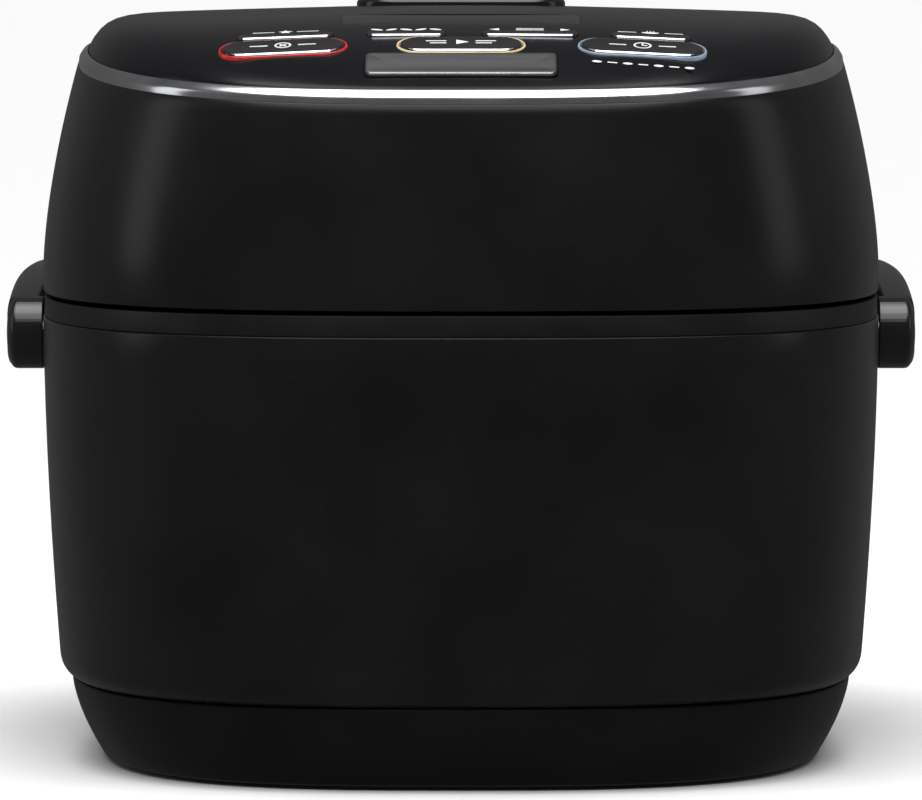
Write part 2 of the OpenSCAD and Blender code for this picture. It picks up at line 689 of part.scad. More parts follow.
module carry_handle() {
  steps = 30;
  quarter = [for (k = [0 : steps]) 90 * pow((k + 0.3) / (steps + 0.3), 1.5)];
  stations = concat(quarter, [for (k = [steps - 1 : -1 : 0]) 180 - quarter[k]]);
  mid = (grip_in + grip_out) / 2;
  // Section of the bar: [share of half width, share of half height]
  section = [for (k = [0 : 15]) [power_of(cos(22.5 * k), 0.55), -power_of(sin(22.5 * k), 0.55)]];
  rings = [
    for (t = stations)
      let (c = power_of(cos(t), 2 / grip_square), s = pow(sin(t), 2 / grip_square),
           x = mid[0] * c, y = mid[1] * s,
           nx = power_of(c, grip_square - 1) / mid[0], ny = pow(s, grip_square - 1) / mid[1],
           n = [nx, ny] / norm([nx, ny]))
        [for (q = section)
          [x + n[0] * q[0] * bar_w / 2, y + n[1] * q[0] * bar_w / 2, bar_z(y) + q[1] * bar_half(y)]]
  ];
  round = 1.6;
  eye = [
    [0, 0], [bar_h / 2 - 0.4, 0], [bar_h / 2, 0.4], [bar_h / 2, bar_w - round],
    [bar_h / 2 - round * 0.3, bar_w - round * 0.3], [bar_h / 2 - round, bar_w], [0, bar_w]
  ];
  color(satin) placed() difference() {
    union() {
      loft(rings);
      both_sides() translate([grip_in[0], 0, pivot_h]) rotate([0, 90, 0]) rotate_extrude() polygon(eye);
    }
    translate([0, 0, pivot_h]) rod_x(pivot_r + run_gap, -grip_in[0] - bar_w + 3, grip_in[0] + bar_w - 3);
  }
}

// ---- Lid ----

module lid_shell() {
  rises = [0, 0.1, 0.25, 0.42, 0.6, 0.8, 1];
  outer = [for (t = rises) wall_ring(t)];
  shelf = [
    wall_ring(1, wall), edge_ring(0.2, panel_t + 0.4), edge_ring(-ledge_w, panel_t - 0.6),
    edge_ring(-ledge_w, panel_t + 1.4), edge_ring(0.2 - wall, panel_t + 3.4)
  ];
  inner = [for (t = [0.8, 0.6, 0.25, 0]) wall_ring(t, wall)];
  pressed_z = crown_z(0, release_y - release_d / 2) - plate_t - release_travel;
  color(black) placed() difference() {
    union() {
      loft(concat(outer, shelf, inner), looped = true);
      four_corners(lid_boss) rod_z(4.6, liner_z + liner_t, liner_z + 22);
    }
    box([-notch_x, half_d - 30, lid_z0 - 5], [notch_x, half_d + 10, hinge_z + notch_h]);
    four_corners(lid_boss) rod_z(screw_r + screw_gap, liner_z, liner_z + 16);
    translate([0, release_y, 0])
      slab(soft_rect(release_w + 2, release_d + 2, 3), pressed_z - 1, crown_h);
  }
}

module trim_ring() {
  color(chrome) placed() loft([
    wall_ring(1, 0.2, -0.05), edge_ring(trim_w - 0.35, edge_drop - 0.2), edge_ring(0, -0.25),
    edge_ring(0, panel_t + 0.2), edge_ring(0.3, panel_t + 0.3), wall_ring(1, wall - 0.1, -0.05)
  ], looped = true);
}

module control_panel() {
  under = [for (k = [0.2, 0.5, 0.75, 0.9, 0.998]) crown_ring(k, panel_t)];
  over = [for (k = [0.998, 0.975, 0.94, 0.89, 0.8, 0.68, 0.5, 0.3, 0.12]) crown_ring(k)];
  color([0.04, 0.04, 0.05]) placed() difference() {
    union() {
      loft(concat(under, over));
      for (x = [-board_half + 4, board_half - 4], d = [board_d - 13.5, board_d + 13.5])
        on_panel(x, d) rod_z(2.5, -board_drop - 2, -panel_t / 2);
    }
    on_panel(0, board_d) box([-board_half - 5, -20, -board_drop - 9], [board_half + 5, 20, -board_drop]);
    for (k = large_keys) on_panel(k[0], k[1])
      slab(soft_rect(key_w + bezel_out, key_d + bezel_out, key_d / 2), -9, 5);
    for (k = small_keys) on_panel(k[0], k[1])
      slab(soft_rect(k[2] + 2 * key_gap, small_key_d + 2 * key_gap, small_key_d / 2), -9, 5);
    on_panel(0, 82) slab(soft_rect(72.2, 30.2, 2), -1.2, 5);
    on_panel(0, 82) slab(soft_rect(64, 24, 2), -9, 5);
    translate([0, release_y, 0])
      slab(soft_rect(release_w + 2 * key_gap, release_d + 2 * key_gap, 2.5), crown_h - 40, crown_h + 5);
    translate([0, steam_y, 0])
      slab(soft_rect(cap_w + 0.8, cap_d + 0.8, 14), crown_h - 40, crown_h + 5);
  }
}

module display_window() {
  color([0.1, 0.12, 0.14]) placed() on_panel(0, 82) slab(soft_rect(72, 30, 2), -1.2, 0);
}

module display_module() {
  color([0.3, 0.34, 0.3]) placed() on_panel(0, 82) slab(soft_rect(62, 22, 1), -7, -1.2);
}

module control_board() {
  color([0.1, 0.35, 0.18]) placed() on_panel(0, board_d)
    box([-board_half, -17, -board_drop - board_t], [board_half, 17, -board_drop]);
}

module key_switches() {
  color([0.15, 0.15, 0.16]) placed() on_panel(0, board_d) for (k = concat(large_keys, small_keys))
    translate([k[0], k[1] - board_d, 0]) box([-3, -3, -board_drop], [3, 3, -board_drop + switch_h]);
}

module bezel(k, tint) {
  color(tint) placed() on_panel(k[0], k[1]) difference() {
    slab(soft_rect(key_w + bezel_out, key_d + bezel_out, key_d / 2), -2.6, 0.35);
    slab(soft_rect(key_w + 2 * key_gap, key_d + 2 * key_gap, key_d / 2 - bezel_t), -5, 3);
  }
}
module bezel_cancel() { bezel(large_keys[0], [0.7, 0.08, 0.07]); }
module bezel_start() { bezel(large_keys[1], [0.85, 0.72, 0.48]); }
module bezel_timer() { bezel(large_keys[2], [0.5, 0.55, 0.62]); }

module lid_liner() {
  plate = liner_z + liner_t;
  color([0.2, 0.2, 0.21]) placed() difference() {
    union() {
      slab(oval(half_w - wall - 0.3, half_d - wall - 0.3), liner_z, plate);
      translate([0, pot_y, 0]) rod_z(recess_r + 2, liner_z, recess_z + 2);
    }
    translate([0, pot_y, 0]) rod_z(recess_r, liner_z - 1, recess_z);
    translate([0, steam_y, 0]) rod_z(duct_r + 0.2, recess_z - 1, recess_z + 4);
    box([-notch_x - 0.5, half_d - 18, liner_z - 1], [notch_x + 0.5, half_d + 10, recess_z + 5]);
    box([-slot_half, slot_front, liner_z - 1], [slot_half, keeper_y + 1, plate + 1]);
    four_corners(lid_boss) rod_z(screw_r + 0.3, liner_z - 1, plate + 1);
    both_sides() translate([(sleeve_x + arm_x) / 2, hinge_y - hinge_screw_in, 0])
      rod_z(screw_r + screw_gap, liner_z - 1, plate + 1);
  }
}

module lid_screws() {
  color(steel) placed() four_corners(lid_boss) {
    rod_z(screw_r, liner_z - 0.4, liner_z + 14);
    rod_z(screw_r * 2, liner_z - 0.8, liner_z);
  }
}

module lid_heater() {
  color([0.8, 0.76, 0.6]) placed() translate([0, pot_y, 0]) tube(62, 34, recess_z + 2, recess_z + 3.2);
}

module inner_lid() {
  r = recess_r - 6;
  color([0.75, 0.76, 0.78]) placed() difference() {
    translate([0, pot_y, inner_lid_z]) {
      rod_z(r, 0, 1.2);
      tube(r, r - 1.2, 0, 5);
      rod_z(8, 0, recess_z - inner_lid_z);
    }
    translate([0, steam_y, 0]) for (t = [0 : 60 : 300]) rotate(t) translate([5.5, 0, inner_lid_z - 1])
      cylinder(r = 1.7, h = 4);
    translate([0, steam_y, inner_lid_z - 1]) cylinder(r = 1.7, h = 4);
  }
}

module lid_gasket() {
  r = flange_d / 2;
  color([0.85, 0.85, 0.84]) placed() translate([0, pot_y, 0]) rotate_extrude() polygon([
    [r - 7, inner_lid_z], [r - 6, seat_z + rim_t + 0.1], [r - 3.4, seat_z + rim_t + 0.1],
    [r - 2.4, inner_lid_z - 0.9], [r + 2, inner_lid_z - 0.9], [r + 2, inner_lid_z]
  ]);
}

// Rim at the duct's top, and its height under the lowest point of the panel over it
function duct_rim() = soft_rect(cap_w + 6, cap_d + 6, 16);
function duct_top() = min([for (p = duct_rim()) crown_z(p[0], steam_y + p[1])]) - panel_t - 0.6;

module steam_duct() {
  z1 = duct_top();
  color(satin) placed() translate([0, steam_y, 0]) difference() {
    union() {
      rod_z(duct_r, recess_z + 1, z1);
      slab(duct_rim(), z1 - 1.6, z1);
      tube(duct_r + 3, duct_r, recess_z + 2, recess_z + 4);
    }
    rod_z(duct_bore, recess_z - 1, z1 + 1);
  }
}

module duct_seal() {
  color([0.85, 0.85, 0.84]) placed() translate([0, steam_y, 0])
    tube(duct_r, duct_r - 2.2, inner_lid_z + 1.2, recess_z + 1);
}

module hinge_arms() {
  plate = liner_z + liner_t;
  color(satin) placed() both_sides() translate([0, hinge_y, hinge_z]) difference() {
    union() {
      rod_x(barrel_r, sleeve_x + side_gap, arm_x);
      box([sleeve_x + side_gap, -30, plate - hinge_z], [arm_x, 0, barrel_r - 1.5]);
    }
    rod_x(hinge_pin_r + run_gap, sleeve_x, arm_x + 1);
    translate([(sleeve_x + arm_x) / 2, -hinge_screw_in, 0]) rod_z(screw_r + screw_gap, -10, 3);
  }
}

module hinge_screws() {
  color(steel) placed() both_sides() translate([(sleeve_x + arm_x) / 2, hinge_y - hinge_screw_in, 0]) {
    rod_z(screw_r, liner_z + liner_t, hinge_z + 2.8);
    rod_z(screw_r, liner_z - 0.4, liner_z + liner_t);
    rod_z(screw_r * 2, liner_z - 1, liner_z);
  }
}

module latch_bracket() {
  plate = liner_z + liner_t;
  color(steel) placed() both_sides() translate([0, latch_y, 0]) difference() {
    union() {
      box([11, -4, plate], [13.4, 4, latch_z]);
      translate([0, 0, latch_z]) rod_x(4, 11, 13.4);
      box([11, -4, plate], [20, 4, plate + 1.4]);
    }
    translate([0, 0, latch_z]) rod_x(2 + screw_gap, 10, 15);
  }
}

module latch_pin() {
  color(steel) placed() translate([0, latch_y, latch_z]) rod_x(2, -13.4, 13.4);
}

module latch_spring() {
  color(steel) placed() translate([0, latch_y, latch_z]) rotate([0, 90, 0])
    wound(2.9, 1, latch_half + 0.4, 10.6);
}

module latch_hook() {
  tip = deck_z - deck_t - 1.7 - latch_z;
  color(steel) placed() translate([0, latch_y, latch_z]) difference() {
    union() {
      rod_x(4, -latch_half, latch_half);
      box([-latch_half, -1.7, tip - 2], [latch_half, 1.7, 0]);
      box([-latch_half, 0, tip - 2], [latch_half, 8.6, tip]);
      box([-latch_half, 0, 0.4], [latch_half, lever + 3, latch_arm]);
    }
    rod_x(2 + run_gap, -latch_half - 1, latch_half + 1);
  }
}

module release_plate() {
  top = crown_z(0, release_y);
  slope = atan((crown_z(0, release_y + 1) - crown_z(0, release_y - 1)) / 2);
  color([0.35, 0.35, 0.37]) placed() translate([0, release_y, 0]) {
    intersection() {
      slab(soft_rect(release_w, release_d, 2.2), crown_h - 40, crown_h + 5);
      translate([0, 0, top + 0.9]) rotate([slope, 0, 0]) box([-40, -15, -plate_t], [40, 15, 0]);
    }
    box([-4, -1.5, latch_z + latch_arm + 0.4], [4, 1.5, top - 1.5]);
    for (x = [-20, 20]) translate([x, 0, 0]) rod_z(2, top - 12, top - 1.5);
  }
}

module key(at, w, d) {
  color([0.05, 0.05, 0.06]) placed() on_panel(at[0], at[1]) {
    slab(soft_rect(w, d, d / 2 - 0.2), -key_t + 1.5, key_stand);
    rod_z(1.8, key_travel + 0.1 - key_reach(at), -key_t + 2);
  }
}
module key_cancel() { key(large_keys[0], key_w, key_d); }
module key_start() { key(large_keys[1], key_w, key_d); }
module key_timer() { key(large_keys[2], key_w, key_d); }
module key_favourite() { key(small_keys[0], small_keys[0][2], small_key_d); }
module key_grain() { key(small_keys[1], small_keys[1][2], small_key_d); }
module key_menu() { key(small_keys[2], small_keys[2][2], small_key_d); }
module key_warm() { key(small_keys[3], small_keys[3][2], small_key_d); }

module steam_cap() {
  z0 = duct_top() + 0.4;
  z1 = crown_z(0, steam_y) + cap_stand;
  color([0.05, 0.05, 0.06]) placed() translate([0, steam_y, 0]) {
    difference() {
      union() {
        slab(soft_rect(cap_w, cap_d, 13.6), z0, z1 - 1);
        slab(soft_rect(cap_w - 2, cap_d - 2, 12.6), z1 - 1.2, z1);
      }
      for (x = [-18, -9, 0, 9, 18]) translate([x, 6, 0]) slab(soft_rect(5.5, 2.4, 1), z0 + 1.6, z1 + 1);
      slab(soft_rect(cap_w - 8, cap_d - 8, 10), z0 - 1, z1 - 2);
    }
    tube(duct_bore - 0.4, duct_bore - 1.8, z0 - 14, z1 - 1.5);
  }
}

base_pan();
rubber_feet();
base_screws();
body_shell();
upper_collar();
pot_chamber();
coil_former();
induction_coil();
ferrite_bars();
side_heater();
thermostat_sensor();
sensor_spring();
inner_pot();
main_board();
board_screws();
power_parts();
heat_sink();
fan_housing();
fan_rotor();
power_inlet();
inlet_pins();
hinge_pin();
hinge_sleeve();
torsion_spring();
latch_keeper();
handle_pins();
carry_handle();
lid_shell();
trim_ring();
control_panel();
display_window();
display_module();
control_board();
key_switches();
bezel_cancel();
bezel_start();
bezel_timer();
lid_liner();
lid_screws();
lid_heater();
inner_lid();
lid_gasket();
steam_duct();
duct_seal();
hinge_arms();
hinge_screws();
latch_bracket();
latch_pin();
latch_spring();
latch_hook();
release_plate();
key_cancel();
key_start();
key_timer();
key_favourite();
key_grain();
key_menu();
key_warm();
steam_cap();
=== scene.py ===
from math import atan, cos, pi, radians, sin, sqrt

import bmesh
import bpy
from mathutils import Matrix, Vector
from mathutils.bvhtree import BVHTree
from mathutils.interpolate import poly_3d_calc


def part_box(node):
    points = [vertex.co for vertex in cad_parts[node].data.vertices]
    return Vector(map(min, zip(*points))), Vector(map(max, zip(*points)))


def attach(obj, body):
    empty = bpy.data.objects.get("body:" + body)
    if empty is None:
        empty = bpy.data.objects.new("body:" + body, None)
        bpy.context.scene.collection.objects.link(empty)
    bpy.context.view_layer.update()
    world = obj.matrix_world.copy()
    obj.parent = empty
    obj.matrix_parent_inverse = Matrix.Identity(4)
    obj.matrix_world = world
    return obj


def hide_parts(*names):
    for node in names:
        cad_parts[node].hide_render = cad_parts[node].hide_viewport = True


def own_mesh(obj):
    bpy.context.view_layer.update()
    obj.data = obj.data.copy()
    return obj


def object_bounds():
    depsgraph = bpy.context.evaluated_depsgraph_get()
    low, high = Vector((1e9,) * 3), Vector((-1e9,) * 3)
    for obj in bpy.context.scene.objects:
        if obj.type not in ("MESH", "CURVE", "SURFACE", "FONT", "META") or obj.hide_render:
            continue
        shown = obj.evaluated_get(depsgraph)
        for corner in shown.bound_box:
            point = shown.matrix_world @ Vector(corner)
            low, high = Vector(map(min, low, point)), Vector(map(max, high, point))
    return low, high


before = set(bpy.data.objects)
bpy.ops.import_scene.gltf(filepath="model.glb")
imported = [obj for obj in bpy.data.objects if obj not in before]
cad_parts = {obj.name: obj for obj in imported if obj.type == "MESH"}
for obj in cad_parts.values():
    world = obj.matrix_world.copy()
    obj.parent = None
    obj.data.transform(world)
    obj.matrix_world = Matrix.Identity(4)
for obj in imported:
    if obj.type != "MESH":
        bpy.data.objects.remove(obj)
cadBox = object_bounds()
scene = bpy.context.scene
mm = 0.001
sameSpot = 1e-7    # vertices closer than this are one
hairline = 1e-6    # as thin as a ring may get at a pole
print("frame loaded")

# where the main pieces are, from the frame
bodyLow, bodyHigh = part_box("body_shell")
baseLow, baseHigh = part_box("base_pan")
panelLow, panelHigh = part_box("control_panel")
potLow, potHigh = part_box("inner_pot")
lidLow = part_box("lid_shell")[0]
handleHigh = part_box("carry_handle")[1]
halfW = bodyHigh.x
halfD = (bodyHigh.y - bodyLow.y) / 2
midY = (bodyHigh.y + bodyLow.y) / 2

outline = {"points": 176, "squareness": 2.9, "wall": 2.6 * mm}
tones = {"darkAt": 0.32, "lightAt": 0.68, "coatRough": 0.08, "fineDetail": 4.0}
flakes = {"scale": 520, "share": 0.16, "soft": 0.06, "patchScale": 260, "patchFrom": 0.52, "patchTo": 0.6}
pads = {"scale": 260, "from": 0.42, "to": 0.5, "tint": (0.03, 0.24, 0.09, 1)}

scene.unit_settings.system = "METRIC"


def middleOf(node):
    low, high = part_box(node)
    return (low + high) / 2


def halfWidth(node):
    low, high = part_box(node)
    return (high.x - low.x) / 2


def addNode(tree, kind, **inputs):
    node = tree.nodes.new(kind)
    for name, value in inputs.items():
        node.inputs[name.replace("_", " ")].default_value = value
    return node


def noiseAt(tree, coords, scale, detail=3.0, stretch=(1, 1, 1)):
    mapping = addNode(tree, "ShaderNodeMapping", Scale=stretch)
    noise = addNode(tree, "ShaderNodeTexNoise", Scale=scale, Detail=detail)
    tree.links.new(coords, mapping.inputs["Vector"])
    tree.links.new(mapping.outputs["Vector"], noise.inputs["Vector"])
    return noise.outputs["Fac"]


def spread(tree, source, low, high, fromLow=0.3, fromHigh=0.7):
    ranged = tree.nodes.new("ShaderNodeMapRange")
    ranged.inputs["From Min"].default_value = fromLow
    ranged.inputs["From Max"].default_value = fromHigh
    ranged.inputs["To Min"].default_value = low
    ranged.inputs["To Max"].default_value = high
    tree.links.new(source, ranged.inputs["Value"])
    return ranged.outputs["Result"]


# a plastic, metal or rubber: one noise sets its colour and roughness, and a finer one its bump
def finish(name, dark, light, rough, scale=60, bump=0.0, bumpScale=900, metallic=0.0, coat=0.0,
           specular=0.5, stretch=(1, 1, 1), depth=0.00004):
    material = bpy.data.materials.new(name)
    material.use_nodes = True
    tree = material.node_tree
    shader = tree.nodes["Principled BSDF"]
    shader.inputs["Metallic"].default_value = metallic
    shader.inputs["Coat Weight"].default_value = coat
    shader.inputs["Coat Roughness"].default_value = tones["coatRough"]
    shader.inputs["Specular IOR Level"].default_value = specular
    coords = tree.nodes.new("ShaderNodeTexCoord").outputs["Object"]
    cloud = noiseAt(tree, coords, scale, stretch=stretch)
    ramp = tree.nodes.new("ShaderNodeValToRGB")
    ramp.color_ramp.elements[0].color = (*dark, 1)
    ramp.color_ramp.elements[1].color = (*light, 1)
    ramp.color_ramp.elements[0].position = tones["darkAt"]
    ramp.color_ramp.elements[1].position = tones["lightAt"]
    tree.links.new(cloud, ramp.inputs["Fac"])
    tree.links.new(ramp.outputs["Color"], shader.inputs["Base Color"])
    fine = noiseAt(tree, coords, bumpScale, tones["fineDetail"], stretch)
    tree.links.new(spread(tree, cloud, rough[0], rough[1]), shader.inputs["Roughness"])
    if bump:
        relief = addNode(tree, "ShaderNodeBump", Strength=bump, Distance=depth)
        tree.links.new(fine, relief.inputs["Height"])
        tree.links.new(relief.outputs["Normal"], shader.inputs["Normal"])
    return material


# a non-stick coating: small light flakes in a dark base
def speckled(name, dark, light, flake, rough):
    material = finish(name, dark, light, rough, scale=35, bump=0.25, bumpScale=1400)
    tree = material.node_tree
    shader = tree.nodes["Principled BSDF"]
    coords = tree.nodes["Texture Coordinate"].outputs["Object"]
    cells = addNode(tree, "ShaderNodeTexVoronoi", Scale=flakes["scale"])
    tree.links.new(coords, cells.inputs["Vector"])
    reach = flakes["share"]
    mask = spread(tree, cells.outputs["Distance"], 1.0, 0.0, reach, reach + flakes["soft"])
    patches = noiseAt(tree, coords, flakes["patchScale"])
    picked = spread(tree, patches, 0.0, 1.0, flakes["patchFrom"], flakes["patchTo"])
    both = tree.nodes.new("ShaderNodeMath")
    both.operation = "MULTIPLY"
    tree.links.new(mask, both.inputs[0])
    tree.links.new(picked, both.inputs[1])
    mix = tree.nodes.new("ShaderNodeMix")
    mix.data_type = "RGBA"
    mix.inputs["B"].default_value = (*flake, 1)
    tree.links.new(both.outputs["Value"], mix.inputs["Factor"])
    tree.links.new(tree.nodes["Color Ramp"].outputs["Color"], mix.inputs["A"])
    tree.links.new(mix.outputs["Result"], shader.inputs["Base Color"])
    return material


# a circuit board: square-sided lighter pads over a green lacquer
def board(name):
    material = finish(name, (0.008, 0.09, 0.03), (0.012, 0.13, 0.045), (0.3, 0.42), scale=90)
    tree = material.node_tree
    coords = tree.nodes["Texture Coordinate"].outputs["Object"]
    cells = addNode(tree, "ShaderNodeTexVoronoi", Scale=pads["scale"])
    cells.distance = "CHEBYCHEV"
    tree.links.new(coords, cells.inputs["Vector"])
    mix = tree.nodes.new("ShaderNodeMix")
    mix.data_type = "RGBA"
    mix.inputs["B"].default_value = pads["tint"]
    mask = spread(tree, cells.outputs["Distance"], 1.0, 0.0, pads["from"], pads["to"])
    tree.links.new(mask, mix.inputs["Factor"])
    tree.links.new(tree.nodes["Color Ramp"].outputs["Color"], mix.inputs["A"])
    tree.links.new(mix.outputs["Result"], tree.nodes["Principled BSDF"].inputs["Base Color"])
    return material


shellBlack = finish("shellBlack", (0.0048, 0.0048, 0.0055), (0.0072, 0.0072, 0.0082), (0.24, 0.3),
                    scale=24, bump=0.1, bumpScale=420, specular=0.22)
baseBlack = finish("baseBlack", (0.0036, 0.0036, 0.0042), (0.0055, 0.0055, 0.0062), (0.36, 0.44),
                   scale=30, bump=0.22, bumpScale=900, specular=0.2)
collarBlack = finish("collarBlack", (0.0042, 0.0042, 0.0048), (0.0064, 0.0064, 0.0072), (0.42, 0.5),
                     scale=40, bump=0.25, bumpScale=1300, specular=0.25)
handleBlack = finish("handleBlack", (0.0055, 0.0055, 0.0062), (0.0078, 0.0078, 0.0088), (0.16, 0.22),
                     scale=30, bump=0.1, bumpScale=600, specular=0.45)
panelBlack = finish("panelBlack", (0.005, 0.005, 0.006), (0.0075, 0.0075, 0.009), (0.17, 0.24),
                    scale=14, bump=0.05, bumpScale=300, specular=0.1)
smokedWindow = finish("smokedWindow", (0.0045, 0.0055, 0.0065), (0.0065, 0.008, 0.0095), (0.12, 0.17),
                      scale=20, specular=0.2)
keyBlack = finish("keyBlack", (0.008, 0.008, 0.009), (0.012, 0.012, 0.014), (0.14, 0.2),
                  scale=120, bump=0.05, bumpScale=1200, coat=0.4)
trimChrome = finish("trimChrome", (0.56, 0.57, 0.59), (0.68, 0.69, 0.71), (0.13, 0.22), scale=50,
                    bump=0.06, bumpScale=700, metallic=1.0)
# silver for the painted highlights along the keys' and the release plate's front edges
highlightSilver = finish("highlightSilver", (0.66, 0.67, 0.69), (0.8, 0.81, 0.83), (0.18, 0.28),
                    scale=200, metallic=1.0)
plateGrey = finish("plateGrey", (0.05, 0.05, 0.052), (0.075, 0.075, 0.078), (0.42, 0.52), scale=160,
                   bump=0.2, bumpScale=1500, metallic=0.7, stretch=(0.1, 1, 1))
ringRed = finish("ringRed", (0.42, 0.012, 0.012), (0.56, 0.03, 0.025), (0.2, 0.28), scale=150, coat=0.3)
ringCream = finish("ringCream", (0.72, 0.52, 0.25), (0.85, 0.68, 0.38), (0.2, 0.28), scale=150, coat=0.3)
ringBlue = finish("ringBlue", (0.2, 0.27, 0.36), (0.3, 0.38, 0.48), (0.2, 0.28), scale=150, coat=0.3)
legendWhite = finish("legendWhite", (0.66, 0.66, 0.66), (0.8, 0.8, 0.8), (0.45, 0.6), scale=300)
footRubber = finish("footRubber", (0.014, 0.014, 0.014), (0.025, 0.025, 0.024), (0.7, 0.85), scale=120,
                    bump=0.5, bumpScale=1600)
sealWhite = finish("sealWhite", (0.6, 0.6, 0.57), (0.7, 0.7, 0.67), (0.45, 0.6), scale=60, bump=0.15)
steelBright = finish("steelBright", (0.48, 0.48, 0.5), (0.62, 0.62, 0.64), (0.24, 0.38), scale=180,
                     bump=0.12, bumpScale=1100, metallic=1.0)
springSteel = finish("springSteel", (0.34, 0.34, 0.36), (0.5, 0.5, 0.52), (0.2, 0.34), scale=240,
                     metallic=1.0)
lidAlu = finish("lidAlu", (0.64, 0.65, 0.66), (0.72, 0.73, 0.74), (0.31, 0.37), scale=130, bump=0.12,
                bumpScale=700, metallic=1.0, stretch=(0.12, 1, 1))
chamberAlu = finish("chamberAlu", (0.5, 0.51, 0.52), (0.64, 0.65, 0.66), (0.34, 0.5), scale=90, bump=0.2,
                    metallic=1.0, stretch=(1, 1, 0.08))
potOutside = finish("potOutside", (0.008, 0.010, 0.02), (0.013, 0.016, 0.031), (0.2, 0.3), scale=28,
                    bump=0.12, bumpScale=900, coat=0.5)
potInside = speckled("potInside", (0.009, 0.009, 0.01), (0.014, 0.014, 0.016), (0.16, 0.16, 0.17),
                     (0.28, 0.4))
linerGrey = finish("linerGrey", (0.03, 0.03, 0.032), (0.042, 0.042, 0.045), (0.42, 0.54), scale=45,
                   bump=0.3, bumpScale=1200)
formerIvory = finish("formerIvory", (0.5, 0.47, 0.38), (0.6, 0.57, 0.47), (0.5, 0.65), scale=60, bump=0.2)
wireCopper = finish("wireCopper", (0.42, 0.12, 0.04), (0.6, 0.21, 0.08), (0.22, 0.34), scale=260,
                    bump=0.5, bumpScale=1500, metallic=0.85)
ferriteGrey = finish("ferriteGrey", (0.02, 0.02, 0.022), (0.04, 0.04, 0.042), (0.55, 0.7), scale=150,
                     bump=0.4)
micaTan = finish("micaTan", (0.34, 0.25, 0.12), (0.52, 0.4, 0.22), (0.3, 0.5), scale=70, bump=0.2)
boardGreen = board("boardGreen")
partBlue = finish("partBlue", (0.012, 0.02, 0.06), (0.03, 0.045, 0.11), (0.3, 0.42), scale=120, bump=0.1)
print("materials made")


def signedPower(value, exponent):
    return abs(value) ** exponent * (1 if value >= 0 else -1)


# a ring of the cooker's outline; height is a number or a function of x and y from the body's middle
def ovalRing(a, b, height):
    ring = []
    for step in range(outline["points"]):
        turn = 2 * pi * step / outline["points"]
        x = a * signedPower(cos(turn), 2 / outline["squareness"])
        y = b * signedPower(sin(turn), 2 / outline["squareness"])
        z = height(x, y) if callable(height) else height
        ring.append(Vector((x, y + midY, z)))
    return ring


# the same ring moved in by inset from the body's widest line
def insetRing(inset, z):
    return ovalRing(halfW - inset, halfD - inset, z)


def roundRing(radius, z, centreY, points=None):
    count = points or outline["points"]
    turns = [2 * pi * step / count for step in range(count)]
    return [Vector((radius * cos(t), radius * sin(t) + centreY, z)) for t in turns]


def softRect(width, depth, radius, steps=8):
    radius = min(radius, width / 2, depth / 2)
    ring = []
    for corner in range(4):
        signX = 1 if corner in (0, 3) else -1
        signY = 1 if corner < 2 else -1
        for step in range(steps + 1):
            turn = pi / 2 * (corner + step / steps)
            ring.append(Vector((signX * (width / 2 - radius) + radius * cos(turn),
                                signY * (depth / 2 - radius) + radius * sin(turn), 0)))
    return ring


# a ring for each inset and height of a section, in the place's own axes
def rectRings(place, width, depth, radius, section, steps, least=0.2 * mm):
    rings = []
    for inset, z in section:
        corner = max(radius - inset, least)
        ring = softRect(width - 2 * inset, max(depth - 2 * inset, hairline), corner, steps)
        rings.append([place @ Vector((p.x, p.y, z)) for p in ring])
    return rings


def shift(x, y, z=0.0):
    return Matrix.Translation((x, y, z))


def loopEdges(bm, loop):
    return [bm.edges.get((loop[i - 1], loop[i])) for i in range(len(loop))]


# extrudes a loop of vertices and moves the new loop to its places
def growLoop(bm, loop, places):
    made = bmesh.ops.extrude_edge_only(bm, edges=loopEdges(bm, loop))["geom"]
    fresh = {v for v in made if isinstance(v, bmesh.types.BMVert)}
    grown = []
    for vert, place in zip(loop, places):
        other = next(e.other_vert(vert) for e in vert.link_edges if e.other_vert(vert) in fresh)
        other.co = place
        grown.append(other)
    return grown


# a circle's vertices in order round it, always from the operator's first one
def circleLoop(bm, count):
    verts = bmesh.ops.create_circle(bm, segments=count, radius=1)["verts"]
    loop = [verts[0]]
    left = set(verts[1:])
    while left:
        last = loop[-1]
        loop.append(next(e.other_vert(last) for e in last.link_edges if e.other_vert(last) in left))
        left.remove(loop[-1])
    return loop


# a skin through rings of points: joined runs back to the first ring, capped closes both ends
def addLoft(bm, rings, ends="joined"):
    loop = circleLoop(bm, len(rings[0]))
    for vert, place in zip(loop, rings[0]):
        vert.co = place
    first = loop
    for ring in rings[1:] + ([rings[0]] if ends == "joined" else []):
        loop = growLoop(bm, loop, ring)
    if ends == "joined":
        bmesh.ops.remove_doubles(bm, verts=first + loop, dist=sameSpot)
    if ends == "capped":
        bmesh.ops.edgeloop_fill(bm, edges=loopEdges(bm, first))
        bmesh.ops.edgeloop_fill(bm, edges=loopEdges(bm, loop))
    return loop


# a straight-sided block from an outline, between two heights of the place
def addPrism(bm, ring, place, low, high):
    addLoft(bm, [[place @ Vector((p.x, p.y, z)) for p in ring] for z in (low, high)], ends="capped")


# puts vertices, edges and faces in an order that is the same each run, which extruding doesn't
def settle(bm):
    def corners(item):
        return sorted(v.index for v in item.verts)

    for items, key in ((bm.verts, lambda v: tuple(v.co)), (bm.edges, corners), (bm.faces, corners)):
        ranks = {item: rank for rank, item in enumerate(sorted(items, key=key))}
        items.sort(key=lambda item: ranks[item])
        items.index_update()


